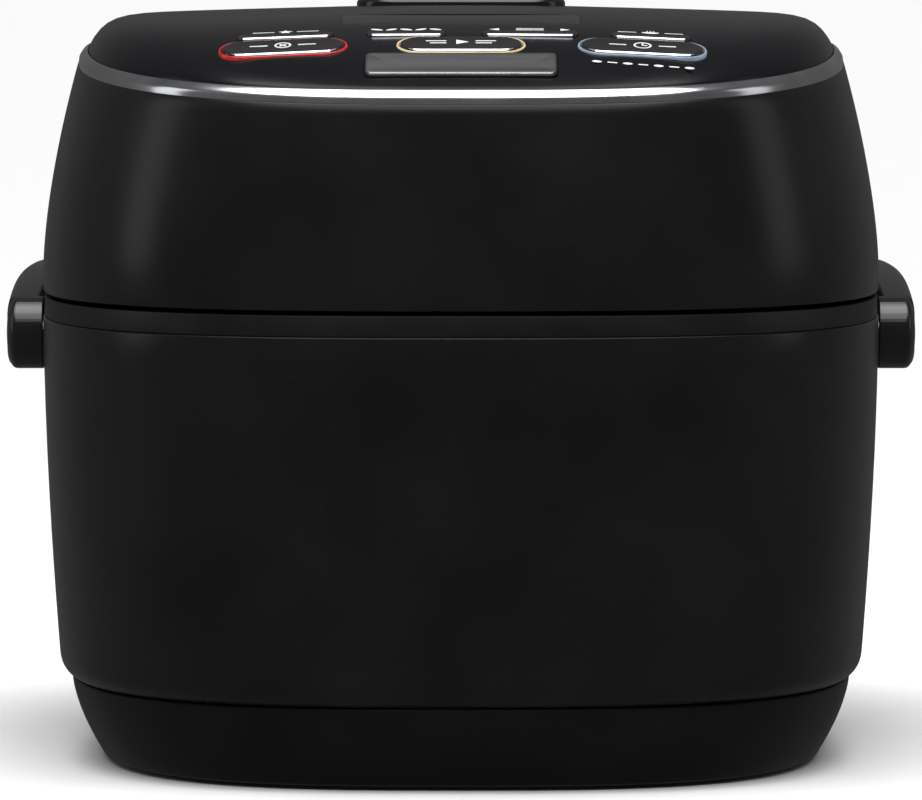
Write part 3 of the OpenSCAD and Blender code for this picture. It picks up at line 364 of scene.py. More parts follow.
def newObject(name, bm, materials, angle=32):
    bmesh.ops.remove_doubles(bm, verts=bm.verts, dist=sameSpot)
    bmesh.ops.dissolve_degenerate(bm, edges=bm.edges, dist=sameSpot / 10)
    bmesh.ops.recalc_face_normals(bm, faces=bm.faces)
    settle(bm)
    mesh = bpy.data.meshes.new(name)
    bm.to_mesh(mesh)
    bm.free()
    mesh.shade_smooth()
    mesh.set_sharp_from_angle(angle=radians(angle))
    piece = bpy.data.objects.new(name, mesh)
    scene.collection.objects.link(piece)
    for material in materials:
        mesh.materials.append(material)
    return piece


def fit(piece, bodyName, slotName, *replaced):
    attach(piece, bodyName)
    if replaced:
        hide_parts(*replaced)
    return piece


blendIn = {"pull": 0.03, "gap": 0.15 * mm, "facing": 0.8}


# cuts a piece with another bmesh, or joins it on; faces of the old surface keep its smooth normals
def shapeWith(piece, cutter, operation="DIFFERENCE"):
    old = piece.data
    tree = BVHTree.FromPolygons([v.co for v in old.vertices], [p.vertices for p in old.polygons])
    corners = [[Vector(old.corner_normals[i].vector) for i in p.loop_indices] for p in old.polygons]
    tool = newObject("tool", cutter, [])
    step = piece.modifiers.new("step", "BOOLEAN")
    step.operation = operation
    step.object = tool
    step.solver = "EXACT"
    step.use_self = True
    depsgraph = bpy.context.evaluated_depsgraph_get()
    fresh = bpy.data.meshes.new_from_object(piece.evaluated_get(depsgraph))
    piece.modifiers.clear()
    bpy.data.objects.remove(tool)
    found = []
    for polygon in fresh.polygons:
        for index in polygon.loop_indices:
            place = fresh.vertices[fresh.loops[index].vertex_index].co
            probe = place.lerp(polygon.center, blendIn["pull"])
            near, _, face, gap = tree.find_nearest(probe)
            weights = poly_3d_calc([old.vertices[i].co for i in old.polygons[face].vertices], near)
            normal = sum((n * w for n, w in zip(corners[face], weights)), Vector()).normalized()
            alike = gap < blendIn["gap"] and normal.dot(polygon.normal) > blendIn["facing"]
            found.append(normal if alike else polygon.normal.copy())
    piece.data = fresh
    fresh.shade_smooth()
    fresh.normals_split_custom_set(found)
    fresh.name = piece.name
    return piece


def arc(radius, start, end, steps):
    turns = [radians(start + (end - start) * i / steps) for i in range(steps + 1)]
    return [(radius * cos(t), radius * sin(t)) for t in turns]


# the sections below are pairs of inset and height, in millimetres
def scaled(section, up=0.0):
    return [(inset * mm, up + z * mm) for inset, z in section]


basePan = {"step": 8.6 * mm, "tuck": 10.4 * mm, "tuckPower": 1.6, "floor": 2.5 * mm, "tongueTall": 5.8 * mm,
           "tongueIn": 0.7 * mm, "tongueT": 1.6 * mm, "topEdge": 0.35 * mm,
           "footEdge": [(1.1, 0), (0.3, 0.2)], "rows": 14, "rowPower": 0.9, "firstRow": 0.7 * mm,
           "lastRow": 0.5 * mm, "well": (16, 8, 4),
           "wellRound": 1.5 * mm, "slot": 3.2 * mm, "slotRound": 1.5 * mm, "fanPitch": 6.4, "fanReach": 21.5,
           "frontPitch": 9, "frontLong": 26 * mm, "frontAt": 57 * mm, "screwR": 3.5 * mm,
           "screwHole": 7.8 * mm, "screwDeep": 9 * mm}
baseTop = baseHigh.z - basePan["tongueTall"]


def baseInset(z):
    tuck = max(0, 1 - z / (baseTop + 0.3 * mm)) ** basePan["tuckPower"]
    return basePan["step"] + basePan["tuck"] * tuck


def makeBasePan():
    wall = outline["wall"]
    low, floor = baseLow.z, baseLow.z + basePan["floor"]
    rows, rise = basePan["rows"], baseTop - baseLow.z - basePan["lastRow"]
    heights = [low + basePan["firstRow"]]
    heights += [low + rise * (i / rows) ** basePan["rowPower"] for i in range(2, rows + 1)]
    rings = [insetRing(baseInset(low) + inset, z) for inset, z in scaled(basePan["footEdge"], low)]
    rings += [insetRing(baseInset(z), z) for z in heights]
    tongue = basePan["step"] + wall + basePan["tongueIn"]
    inside = tongue + basePan["tongueT"]
    top, middle, foot = [z * mm for z in basePan["well"]]
    rings += [insetRing(baseInset(baseTop) + basePan["topEdge"], baseTop), insetRing(tongue, baseTop),
              insetRing(tongue, baseHigh.z), insetRing(inside, baseHigh.z), insetRing(inside, top),
              insetRing(baseInset(middle) + wall, middle),
              insetRing(baseInset(foot) + wall + basePan["wellRound"], floor)]
    bm = bmesh.new()
    loop = addLoft(bm, rings[::-1], ends="open")
    bmesh.ops.edgeloop_fill(bm, edges=loopEdges(bm, loop))
    inner = [v for v in bm.verts if abs(v.co.z - floor) < hairline]
    edges = [e for e in bm.edges if e.is_boundary and e.verts[0] in inner]
    bmesh.ops.edgeloop_fill(bm, edges=edges)
    piece = newObject("basePan", bm, [baseBlack])
    cutter = bmesh.new()
    slot, slotRound, through = basePan["slot"], basePan["slotRound"], floor + 1 * mm
    fanMid = middleOf("fan_housing")
    for k in range(-3, 4):
        across = basePan["fanPitch"] * k
        reach = 2 * sqrt(basePan["fanReach"] ** 2 - across ** 2) * mm
        place = shift(fanMid.x + across * mm, fanMid.y)
        addPrism(cutter, softRect(slot, reach, slotRound), place, 0, through)
    for k in range(-5, 6):
        place = shift(basePan["frontPitch"] * k * mm, midY - halfD + basePan["frontAt"])
        addPrism(cutter, softRect(slot, basePan["frontLong"], slotRound), place, 0, through)
    screwLow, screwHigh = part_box("base_screws")
    inset, hole = basePan["screwR"], basePan["screwHole"]
    for x in (screwLow.x + inset, screwHigh.x - inset):
        for y in (screwLow.y + inset, screwHigh.y - inset):
            addPrism(cutter, softRect(hole, hole, hole / 2), shift(x, y), 0, basePan["screwDeep"])
    shapeWith(piece, cutter)
    fit(piece, "body", "base_black", "base_pan")


makeBasePan()
print("base pan made")


bodyShell = {"belly": 4.9 * mm, "bellyPower": 1.7, "skirt": 7 * mm, "straight": 31 * mm,
             "rows": [0, 0.3, 0.7, 1.2, 1.9, 2.8, 3.9, 5.2, 6.6, 9, 14, 22, 32, 44, 56, 68, 80, 92, 102],
             "insideRows": [60, 40, 8, 4, 2, 0], "topEdge": [(0.12, -0.3), (0.45, 0)],
             "inletHole": (30.4 * mm, 22.4 * mm, 4 * mm), "vents": 7, "ventPitch": 7 * mm,
             "ventX": 26.5 * mm, "ventZ": 53 * mm, "vent": (3 * mm, 30 * mm, 1.2 * mm)}
rearward = Matrix.Rotation(-pi / 2, 4, "X")
sideways = Matrix.Rotation(pi / 2, 4, "Y")


def bodyInset(z):
    straight, skirt = bodyShell["straight"], bodyShell["skirt"]
    rise = max(0, 1 - (max(z, straight) - straight) / (bodyHigh.z - straight))
    h = min(skirt, z - baseTop + 0.2 * mm)
    turnedIn = skirt - sqrt(max(0, skirt ** 2 - (skirt - h) ** 2))
    return min(basePan["step"] + 0.3 * mm, bodyShell["belly"] * rise ** bodyShell["bellyPower"] + turnedIn)


def makeBodyShell():
    wall, low, top = outline["wall"], bodyLow.z, bodyHigh.z
    rows = [low + row * mm for row in bodyShell["rows"]]
    rows = [z for z in rows if z < top - 1.5 * mm] + [top - 0.9 * mm]
    rings = [insetRing(bodyInset(z), z) for z in rows]
    rings += [insetRing(inset, z) for inset, z in scaled(bodyShell["topEdge"], top)]
    rings += [insetRing(wall, top)]
    rings += [insetRing(bodyInset(low + row * mm) + wall, low + row * mm) for row in bodyShell["insideRows"]]
    bm = bmesh.new()
    addLoft(bm, rings)
    piece = newObject("bodyShell", bm, [shellBlack])
    cutter = bmesh.new()
    inletMid, rear = middleOf("power_inlet"), midY + halfD
    place = shift(inletMid.x, 0, inletMid.z) @ rearward
    addPrism(cutter, softRect(*bodyShell["inletHole"]), place, rear - 40 * mm, rear + 10 * mm)
    for k in range(bodyShell["vents"]):
        place = shift(bodyShell["ventX"] + bodyShell["ventPitch"] * k, 0, bodyShell["ventZ"]) @ rearward
        addPrism(cutter, softRect(*bodyShell["vent"]), place, rear - 32 * mm, rear + 10 * mm)
    shapeWith(piece, cutter)
    fit(piece, "body", "gloss_black", "body_shell")


makeBodyShell()
print("body shell made")


collar = {"inset": 0.4 * mm, "deck": 3.2 * mm, "seatDown": 3 * mm, "deckDown": 3.9 * mm, "well": 8 * mm,
          "rim": 4 * mm, "chamberIn": 6.7 * mm, "rimEdge": [(3, 0), (0.9, 0), (0.2, 0.5), (0, 1.2)],
          "lugX": 50.15 * mm, "lugR": 7.5 * mm, "lugWide": 11.7 * mm, "lugBase": (8 * mm, 3.5 * mm),
          "keeperHole": (18 * mm, 16 * mm, 1.5 * mm), "keeperAt": 13.6 * mm, "sleeveR": 8.1 * mm,
          "sleeveLong": 88.6 * mm}


def makeCollar():
    low, inset = bodyHigh.z, collar["inset"]
    chamberR = halfWidth("pot_chamber") - collar["chamberIn"]
    potY = (potLow.y + potHigh.y) / 2
    seat = potHigh.z - collar["seatDown"]
    deck = seat - collar["deckDown"]
    under, tongue = deck - collar["deck"], outline["wall"] + 0.4 * mm
    rim = chamberR + collar["rim"]
    rings = [insetRing(inset + 0.3 * mm, low), insetRing(inset, low + 0.4 * mm)]
    rings += [insetRing(inset, deck - 0.7 * mm), insetRing(inset + 0.2 * mm, deck - 0.2 * mm)]
    rings += [insetRing(inset + 0.7 * mm, deck), insetRing(inset + collar["well"], deck)]
    rings += [roundRing(rim + out, z, potY) for out, z in scaled(collar["rimEdge"], deck)]
    rings += [roundRing(rim, seat - 0.6 * mm, potY), roundRing(rim - 0.5 * mm, seat, potY)]
    rings += [roundRing(chamberR + 0.5 * mm, seat, potY), roundRing(chamberR, seat - 0.5 * mm, potY)]
    rings += [roundRing(chamberR, under, potY), insetRing(tongue + 1.4 * mm, under)]
    rings += [insetRing(tongue, under), insetRing(tongue, low)]
    bm = bmesh.new()
    addLoft(bm, rings)
    piece = newObject("upperCollar", bm, [collarBlack])
    added = bmesh.new()
    pin = middleOf("hinge_pin")
    wide, lugR = collar["lugWide"], collar["lugR"]
    deep, back = collar["lugBase"]
    for side in (-1, 1):
        x = side * collar["lugX"]
        bmesh.ops.create_cone(added, cap_ends=True, segments=64, radius1=lugR, radius2=lugR, depth=wide,
                              matrix=shift(x, pin.y, pin.z) @ sideways)
        addPrism(added, softRect(wide, deep, 0.2 * mm, 1), shift(x, pin.y - back), deck - 2 * mm, pin.z)
    shapeWith(piece, added, "UNION")
    cutter = bmesh.new()
    place = shift(0, midY - halfD + collar["keeperAt"])
    addPrism(cutter, softRect(*collar["keeperHole"], 2), place, low - 10 * mm, deck + 2 * mm)
    bmesh.ops.create_cone(cutter, cap_ends=True, segments=64, radius1=collar["sleeveR"],
                          radius2=collar["sleeveR"], depth=collar["sleeveLong"],
                          matrix=shift(0, pin.y, pin.z) @ sideways)
    shapeWith(piece, cutter)
    fit(piece, "body", "satin_black", "upper_collar")


makeCollar()
print("collar made")


lid = {"edgeSide": 218 * mm, "edgeFront": 10 * mm, "edgeRear": 15 * mm, "edgePower": 1.3, "drop": 2.4 * mm,
       "trimT": 1.6 * mm, "trimW": 3 * mm, "crown": 229.4 * mm, "panelT": 2 * mm, "ledge": 7 * mm,
       "rim": 0.998, "cornerBlend": 3, "endRoll": 4.2, "sideRoll": 26, "sideDome": 0.2, "leanFrom": 0.1,
       "leanPower": 1.6,
       "notch": (114 * mm, 40 * mm, 4 * mm), "notchUp": 13 * mm, "reliefGap": 1 * mm, "reliefDeep": 7 * mm,
       "trimEdge": [(0.25, 2.9), (0.35, 2.2), (0.9, 1.3), (1.6, 0.55), (2.3, 0.05), (2.65, -0.22),
                    (2.9, -0.25), (3, -0.12)]}
panelA = (panelHigh.x - panelLow.x) / 2 / lid["rim"]
panelB = (panelHigh.y - panelLow.y) / 2 / lid["rim"]


def edgeHeight(v):
    fall = lid["edgeFront"] if v < 0 else lid["edgeRear"]
    return lid["edgeSide"] - fall * abs(v) ** lid["edgePower"]


# height of the lid's crown: it rolls over early towards front and rear, and late towards the sides
def crownHeight(x, y):
    n = outline["squareness"]
    r = max(((abs(x) / panelA) ** n + (abs(y) / panelB) ** n) ** (1 / n), 1e-4)
    v = max(-1, min(1, y / panelB / r))
    w = abs(v) ** lid["cornerBlend"]
    dome = lid["sideDome"]
    roll = w * r ** lid["endRoll"] + (1 - w) * (dome * r * r + (1 - dome) * r ** lid["sideRoll"])
    return lid["crown"] - (lid["crown"] - edgeHeight(v)) * roll


# a ring along the panel's edge, widened by out and lowered by drop
def edgeRing(out, drop):
    a, b = panelA + out, panelB + out
    return ovalRing(a, b, lambda x, y: edgeHeight(y / b) - drop)


# the lid's wall at t from the seam to the trim ring, moved in by inset
def wallRing(t, inset=0.0, drop=0.0):
    start = lid["leanFrom"]
    lean = (max(0, t - start) / (1 - start)) ** lid["leanPower"]
    a = halfW - (halfW - panelA - lid["trimW"]) * lean - inset
    b = halfD - (halfD - panelB - lid["trimW"]) * lean - inset
    low, under = lidLow.z, lid["drop"] + lid["trimT"]
    return ovalRing(a, b, lambda x, y: low + t * (edgeHeight(y / b) - under - low) - drop)


def makeLidShell():
    wall, panelT, ledge, rear = outline["wall"], lid["panelT"], lid["ledge"], midY + halfD
    rings = [wallRing(0, 0.5 * mm), wallRing(0, 0.1 * mm, -0.25 * mm), wallRing(0.012)]
    rings += [wallRing(i / 18) for i in range(1, 18)]
    rings += [wallRing(0.992), wallRing(1, 0.35 * mm), wallRing(1, wall)]
    rings += [edgeRing(0.2 * mm, panelT + 0.4 * mm), edgeRing(-ledge, panelT - 0.6 * mm)]
    rings += [edgeRing(-ledge, panelT + 1.4 * mm), edgeRing(-wall, panelT + 3.4 * mm)]
    rings += [wallRing(t, wall) for t in (0.8, 0.6, 0.4, 0.2, 0)]
    bm = bmesh.new()
    addLoft(bm, rings)
    piece = newObject("lidShell", bm, [shellBlack])
    cutter = bmesh.new()
    notch = lid["notch"]
    place = shift(0, 0, middleOf("hinge_pin").z + lid["notchUp"] - notch[1] / 2) @ rearward
    addPrism(cutter, softRect(*notch), place, rear - 30 * mm, rear + 10 * mm)
    low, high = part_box("release_plate")
    gap = 2 * lid["reliefGap"]
    relief = softRect(high.x - low.x + gap, high.y - low.y + gap, 3 * mm)
    lowest = crownHeight(0, low.y - midY) - lid["reliefDeep"]
    addPrism(cutter, relief, shift(0, (low.y + high.y) / 2), lowest, lid["crown"])
    shapeWith(piece, cutter)
    fit(piece, "lid", "gloss_black", "lid_shell")


def makeTrimRing():
    width = lid["trimW"]
    rings = [wallRing(1, 0.2 * mm)]
    rings += [edgeRing(width - inset, drop) for inset, drop in scaled(lid["trimEdge"])]
    rings += [edgeRing(0, lid["panelT"] + 0.3 * mm), wallRing(1, outline["wall"])]
    bm = bmesh.new()
    addLoft(bm, rings)
    fit(newObject("trimRing", bm, [trimChrome], 50), "lid", "trim_chrome", "trim_ring")


makeLidShell()
makeTrimRing()
print("lid shell and trim made")


# keys' places are x and, for the row, the distance from the body's front, in millimetres
panel = {"gap": 0.25 * mm, "bezel": 0.8 * mm, "bigKeys": {"cancel": -53, "start": 0, "timer": 54},
         "bigAt": 40.6, "bigW": 36.6 * mm, "bigD": 13.4 * mm, "smallAt": 52.2, "smallD": 5.6 * mm,
         "smallKeys": {"favourite": (-52.5, 28.6), "grain": (-16.4, 23.6), "menu": (20.6, 28.6),
                       "warm": (56.7, 23.6)},
         "window": (72 * mm, 30 * mm), "windowRound": 2 * mm, "windowAt": 82, "windowGap": 0.04 * mm,
         "windowDeep": 1.7 * mm, "windowSunk": 0.03, "keyDeep": 6 * mm,
         "underShares": [0.2, 0.5, 0.75, 0.9, 0.996],
         "shares": [0.993, 0.985, 0.972, 0.955, 0.93, 0.9, 0.86, 0.81, 0.75, 0.68, 0.6, 0.5, 0.4, 0.3, 0.2,
                    0.12, 0.05]}
vent = {"w": 66 * mm, "d": 38 * mm, "r": 13.6 * mm, "gap": 0.4 * mm}
# release plate: lip is how deep the painted highlight runs in from its front edge
release = {"w": 57 * mm, "d": 14.8 * mm, "r": 2.2 * mm, "highlightLip": 0.42 * mm, "stand": 0.9 * mm,
           "stem": (8 * mm, 3 * mm, 0.4 * mm),
           "section": [(0, -4), (0, -0.9), (0.12, -0.5), (0.35, -0.2), (0.7, -0.04), (1.1, 0), (2.4, -0.12),
                       (4.5, -0.3), (6.9, -0.38)]}


# a place on the panel: x and the distance from the front in millimetres, tilted to the surface
def onPanel(x, fromFront, lift=0.0):
    x, y, step = x * mm, fromFront * mm - halfD, 1 * mm
    slopeY = atan((crownHeight(x, y + step) - crownHeight(x, y - step)) / (2 * step))
    slopeX = atan((crownHeight(x + step, y) - crownHeight(x - step, y)) / (2 * step) * cos(slopeY))
    turn = Matrix.Rotation(slopeY, 4, "X") @ Matrix.Rotation(-slopeX, 4, "Y")
    return shift(x, y + midY, crownHeight(x, y)) @ turn @ shift(0, 0, lift)


# the crown's ring at a share of the panel's size, lowered by drop
def crownRing(share, drop):
    return ovalRing(panelA * share, panelB * share, lambda x, y: crownHeight(x, y) - drop)


def makeControlPanel():
    panelT, gap, bezel, deep = lid["panelT"], panel["gap"], panel["bezel"], -panel["keyDeep"]
    peak = [Vector((0, midY, lid["crown"]))] * outline["points"]
    under = [Vector((0, midY, lid["crown"] - panelT))] * outline["points"]
    rings = [under] + [crownRing(share, panelT) for share in panel["underShares"]]
    rings += [crownRing(lid["rim"], 0.5 * mm), crownRing(0.9975, 0.15 * mm)]
    rings += [crownRing(share, 0) for share in panel["shares"]] + [peak]
    bm = bmesh.new()
    addLoft(bm, rings, ends="open")
    piece = newObject("controlPanel", bm, [panelBlack], 40)
    cutter = bmesh.new()
    grow = 2 * gap + 2 * bezel
    ring = softRect(panel["bigW"] + grow, panel["bigD"] + grow, panel["bigD"] / 2 + gap + bezel, 12)
    for x in panel["bigKeys"].values():
        addPrism(cutter, ring, onPanel(x, panel["bigAt"]), deep, 5 * mm)
    for x, width in panel["smallKeys"].values():
        ring = softRect(width * mm + 2 * gap, panel["smallD"] + 2 * gap, panel["smallD"] / 2)
        addPrism(cutter, ring, onPanel(x, panel["smallAt"]), deep, 5 * mm)
    width, depth = panel["window"]
    play = 2 * panel["windowGap"]
    ring = softRect(width + play, depth + play, panel["windowRound"])
    addPrism(cutter, ring, onPanel(0, panel["windowAt"]), -panel["windowDeep"], 5 * mm)
    releaseHole = softRect(release["w"] + 2 * gap, release["d"] + 2 * gap, 2.5 * mm)
    ventHole = softRect(vent["w"] + 2 * vent["gap"], vent["d"] + 2 * vent["gap"], 14 * mm)
    for node, ring in (("release_plate", releaseHole), ("steam_cap", ventHole)):
        addPrism(cutter, ring, shift(0, middleOf(node).y), lid["crown"] - 40 * mm, lid["crown"] + 5 * mm)
    shapeWith(piece, cutter)
    fit(piece, "lid", "panel_black", "control_panel")


# the window's top follows the panel's curve, a hair below it
def makeWindow():
    width, depth = panel["window"]
    middleY, sunk = panel["windowAt"] * mm - halfD, panel["windowSunk"]
    section = [(1, 0.9), (1, 0.08)] + [(share, sunk) for share in (0.997, 0.8, 0.6, 0.4, 0.2)]
    rings = []
    for share, drop in section:
        ring = softRect(width * share, depth * share, panel["windowRound"] * share, 8)
        places = [(p.x, p.y + middleY) for p in ring]
        rings.append([Vector((x, y + midY, crownHeight(x, y) - drop * mm)) for x, y in places])
    bm = bmesh.new()
    addLoft(bm, rings, ends="capped")
    fit(newObject("displayWindow", bm, [smokedWindow]), "lid", "window", "display_window")


makeControlPanel()
makeWindow()
print("panel made")


# the key's shape; the last entry sets how far, in key depths, the painted highlight on the front edge stops
# short of each end
keyShape = {"low": -4.5 * mm, "stand": 0.7 * mm, "dish": 0.18 * mm, "bigEdge": 0.9 * mm,
            "smallEdge": 0.8 * mm, "cornerIn": 0.2 * mm, "highlightEnds": 0.3}
bezelTints = {"cancel": (ringRed, "ring_red"), "start": (ringCream, "ring_cream"),
              "timer": (ringBlue, "ring_blue")}
bezelSection = [(0.06, -2.4), (0.06, 0.02), (0.16, 0.2), (0.3, 0.26), (0.46, 0.2), (0.56, 0.02),
                (0.76, -0.3), (0.76, -2.4)]


# rounded key with a shallow dish; its front edge bevel is silver, a painted highlight
def makeKey(name, place, width, depth, edge):
    stand, dish = keyShape["stand"], keyShape["dish"]
    side = [(0, keyShape["low"]), (0, stand - edge)]
    side += [(edge - px, stand - edge + pz) for px, pz in arc(edge, 0, 90, 5)[1:]]
    rings = rectRings(place, width, depth, depth / 2 - keyShape["cornerIn"], side, 12, hairline)
    top = [(edge + (1 - share) * (depth / 2 - edge), stand - dish * (1 - share * share))
           for share in (0.75, 0.5, 0.25, 0.0)]
    rings += rectRings(place, width, depth, depth / 2, top, 12, hairline)
    bm = bmesh.new()
    addLoft(bm, rings, ends="capped")
    # faces along the middle of the front rim get the silver: a painted highlight on the key's front edge
    back = place.inverted()
    for face in bm.faces:
        middle = back @ face.calc_center_median()
        rim = middle.z > stand - edge - 0.05 * mm and middle.y < -depth / 2 + edge
        paintedHighlight = rim and abs(middle.x) < width / 2 - depth * keyShape["highlightEnds"]
        face.material_index = 1 if paintedHighlight else 0
    return newObject(name, bm, [keyBlack, highlightSilver], 60)


def makeBezel(name, place, material, slotName, node):
    gap = panel["gap"]
    section = [(-gap - out * mm, z * mm) for out, z in bezelSection]
    rings = rectRings(place, panel["bigW"], panel["bigD"], panel["bigD"] / 2 - gap, section, 14)
    bm = bmesh.new()
    addLoft(bm, rings)
    fit(newObject(name, bm, [material], 50), "lid", slotName, node)


for key, x in panel["bigKeys"].items():
    place = onPanel(x, panel["bigAt"])
    piece = makeKey("key_" + key + "_cap", place, panel["bigW"], panel["bigD"], keyShape["bigEdge"])
    fit(piece, "key_" + key, "key_black", "key_" + key)
    makeBezel("bezel_" + key + "_ring", place, *bezelTints[key], "bezel_" + key)
for key, (x, width) in panel["smallKeys"].items():
    place = onPanel(x, panel["smallAt"])
    piece = makeKey("key_" + key + "_cap", place, width * mm, panel["smallD"], keyShape["smallEdge"])
    fit(piece, "key_" + key, "key_black", "key_" + key)
print("keys made")


# pictograms, drawn in millimetres from the middle of a key or from a spot on the panel
legend = {"thick": 0.06 * mm, "line": 0.55, "up": 0.8, "behind": 58.6, "scaleAt": 28.2}


def addBar(bm, place, x, y, width, depth, turn=0.0):
    spot = place @ shift(x * mm, y * mm) @ Matrix.Rotation(radians(turn), 4, "Z")
    ring = softRect(width * mm, depth * mm, min(width, depth) * 0.45 * mm, 3)
    addPrism(bm, ring, spot, -legend["thick"], legend["thick"])


# a bar each side of the middle
def addPair(bm, place, x, y, width, depth):
    for side in (-1, 1):
        addBar(bm, place, side * x, y, width, depth)


def addRing(bm, place, x, y, radius, line):
    turns = [2 * pi * i / 32 for i in range(32)]
    rings = []
    for r, side in [(radius, -1), (radius, 1), (radius - line, 1), (radius - line, -1)]:
        z = side * legend["thick"]
        rings.append([place @ Vector(((x + r * cos(t)) * mm, (y + r * sin(t)) * mm, z)) for t in turns])
    addLoft(bm, rings)


def addShape(bm, place, x, y, points):
    ring = [Vector(((x + px) * mm, (y + py) * mm, 0)) for px, py in points]
    addPrism(bm, ring, place, -legend["thick"], legend["thick"])


def addArrow(bm, place, x, y, size, side):
    tail, tip, half = -side * size * 0.5, side * size * 0.6, size * 0.6
    addShape(bm, place, x, y, [(tail, half), (tail, -half), (tip, 0)])


def addSteam(bm, place, x, y, size):
    for k in (-1, 0, 1):
        across = x + k * size * 0.55
        addBar(bm, place, across, y, size * 0.16, size * 0.5, 20)
        addBar(bm, place, across, y + size * 0.42, size * 0.16, size * 0.5, -20)


def addBowl(bm, place, x, y, size):
    points = [(size * cos(radians(t)), size * 0.75 * sin(radians(t))) for t in range(180, 361, 15)]
    addShape(bm, place, x, y, points)


def addGrain(bm, place, x, y, size, turn):
    spot = place @ shift(x * mm, y * mm) @ Matrix.Rotation(radians(turn), 4, "Z")
    turns = [radians(t) for t in range(0, 360, 20)]
    addShape(bm, spot, 0, 0, [(size * cos(t), size * 0.42 * signedPower(sin(t), 1.3)) for t in turns])


def addStar(bm, place, size):
    points = []
    for i in range(10):
        reach = size * (1 if i % 2 == 0 else 0.45)
        points.append((reach * sin(radians(36 * i)), reach * cos(radians(36 * i))))
    addShape(bm, place, 0, 0, points[::-1])


def makeKeyLegends():
    top = keyShape["stand"] - keyShape["dish"] * 0.75
    line, up = legend["line"], legend["up"]
    thick, thin = line * 1.2, line * 0.9
    place = {key: onPanel(x, panel["bigAt"], top) for key, x in panel["bigKeys"].items()}
    drawn = {key: bmesh.new() for key in place}

    addRing(drawn["cancel"], place["cancel"], 0, up, 2.5, line)
    for turn in (45, -45):
        addBar(drawn["cancel"], place["cancel"], 0, up, 2.9, line, turn)
    addPair(drawn["cancel"], place["cancel"], 7.2, up, 5.4, thick)

    addArrow(drawn["start"], place["start"], 0.3, 1.2, 3.4, 1)
    addPair(drawn["start"], place["start"], 7.4, 2.2, 6.2, thick)
    addPair(drawn["start"], place["start"], 6.8, 0.2, 5.0, thick)

    addRing(drawn["timer"], place["timer"], 0, up, 2.7, line)
    addBar(drawn["timer"], place["timer"], 0, 1.6, thin, 1.9)
    addBar(drawn["timer"], place["timer"], 0.6, up, 1.7, thin)
    addPair(drawn["timer"], place["timer"], 7.4, up, 5.2, thick)

    for key, bm in drawn.items():
        fit(newObject("legend_" + key, bm, [legendWhite]), "key_" + key, "legend")


# marks on the panel behind the small keys, and a scale in front of the timer key
def makePanelLegend():
    line = legend["line"]
    bm = bmesh.new()
    spot = {key: onPanel(x, legend["behind"]) for key, (x, _) in panel["smallKeys"].items()}
    addStar(bm, spot["favourite"], 2.3)
    addPair(bm, spot["favourite"], 6.6, 0, 6.6, line)
    for k in (-2, -1, 0, 1, 2):
        addGrain(bm, spot["grain"], k * 4.4, 0, 2.0, 35 if k % 2 else -25)
    for side in (-1, 1):
        addArrow(bm, spot["menu"], side * 10.5, 0, 2.6, side)
    for k in (-1, 0, 1):
        addBar(bm, spot["menu"], 0, k * 1.5, 8.4, line)
    addBowl(bm, spot["warm"], 0, 0.2, 2.6)
    addSteam(bm, spot["warm"], 0, 1.0, 1.8)
    addPair(bm, spot["warm"], 7.0, -0.4, 5.6, line)
    scale = onPanel(panel["bigKeys"]["timer"], legend["scaleAt"])
    for k in range(-3, 4):
        if k % 2:
            addGrain(bm, scale, k * 4.6, 0, 1.5, 0)
        else:
            addBar(bm, scale, k * 4.6, 0, 3.0, line)
    fit(newObject("legend_panel", bm, [legendWhite]), "lid", "legend")


makeKeyLegends()
makePanelLegend()
print("legends made")


def makeReleasePlate():
    width, depth = release["w"], release["d"]
    middleY = middleOf("release_plate").y
    y = middleY - midY
    slope = atan((crownHeight(0, y + mm) - crownHeight(0, y - mm)) / (2 * mm))
    lift = crownHeight(0, y) + release["stand"]
    place = shift(0, middleY, lift) @ Matrix.Rotation(slope, 4, "X")
    bm = bmesh.new()
    addLoft(bm, rectRings(place, width, depth, release["r"], scaled(release["section"]), 10), ends="capped")
    back = place.inverted()
    # faces along the front edge get the silver: a painted highlight on the plate's lip
    for face in bm.faces:
        middle = back @ face.calc_center_median()
        highlightLip = middle.z > -0.95 * mm and middle.y < -depth / 2 + release["highlightLip"]
        face.material_index = 1 if highlightLip else 0
    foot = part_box("latch_hook")[1].z + 0.3 * mm
    addPrism(bm, softRect(*release["stem"], 2), shift(0, middleY), foot, lift - 3 * mm)
    piece = newObject("releasePlate", bm, [plateGrey, highlightSilver], 40)
    fit(piece, "release", "plate_grey", "release_plate")


# the cap's section is pairs of inset and height from its top; the tube's are radius and which end
cap = {"skirt": 5.5 * mm, "slots": (-18, -9, 0, 9, 18), "slot": (5.5 * mm, 2.4 * mm, 1 * mm),
       "slotY": 6 * mm, "wall": 4 * mm, "top": 2 * mm, "tubeDown": 1.9 * mm,
       "tube": [(9.2, 1), (9.2, 0), (7.8, 0), (7.8, 1)],
       "section": [(0, -1.5), (0.1, -0.9), (0.38, -0.42), (0.8, -0.12), (1.4, 0), (6, -0.1), (12, -0.35),
                   (18.9, -0.45)]}


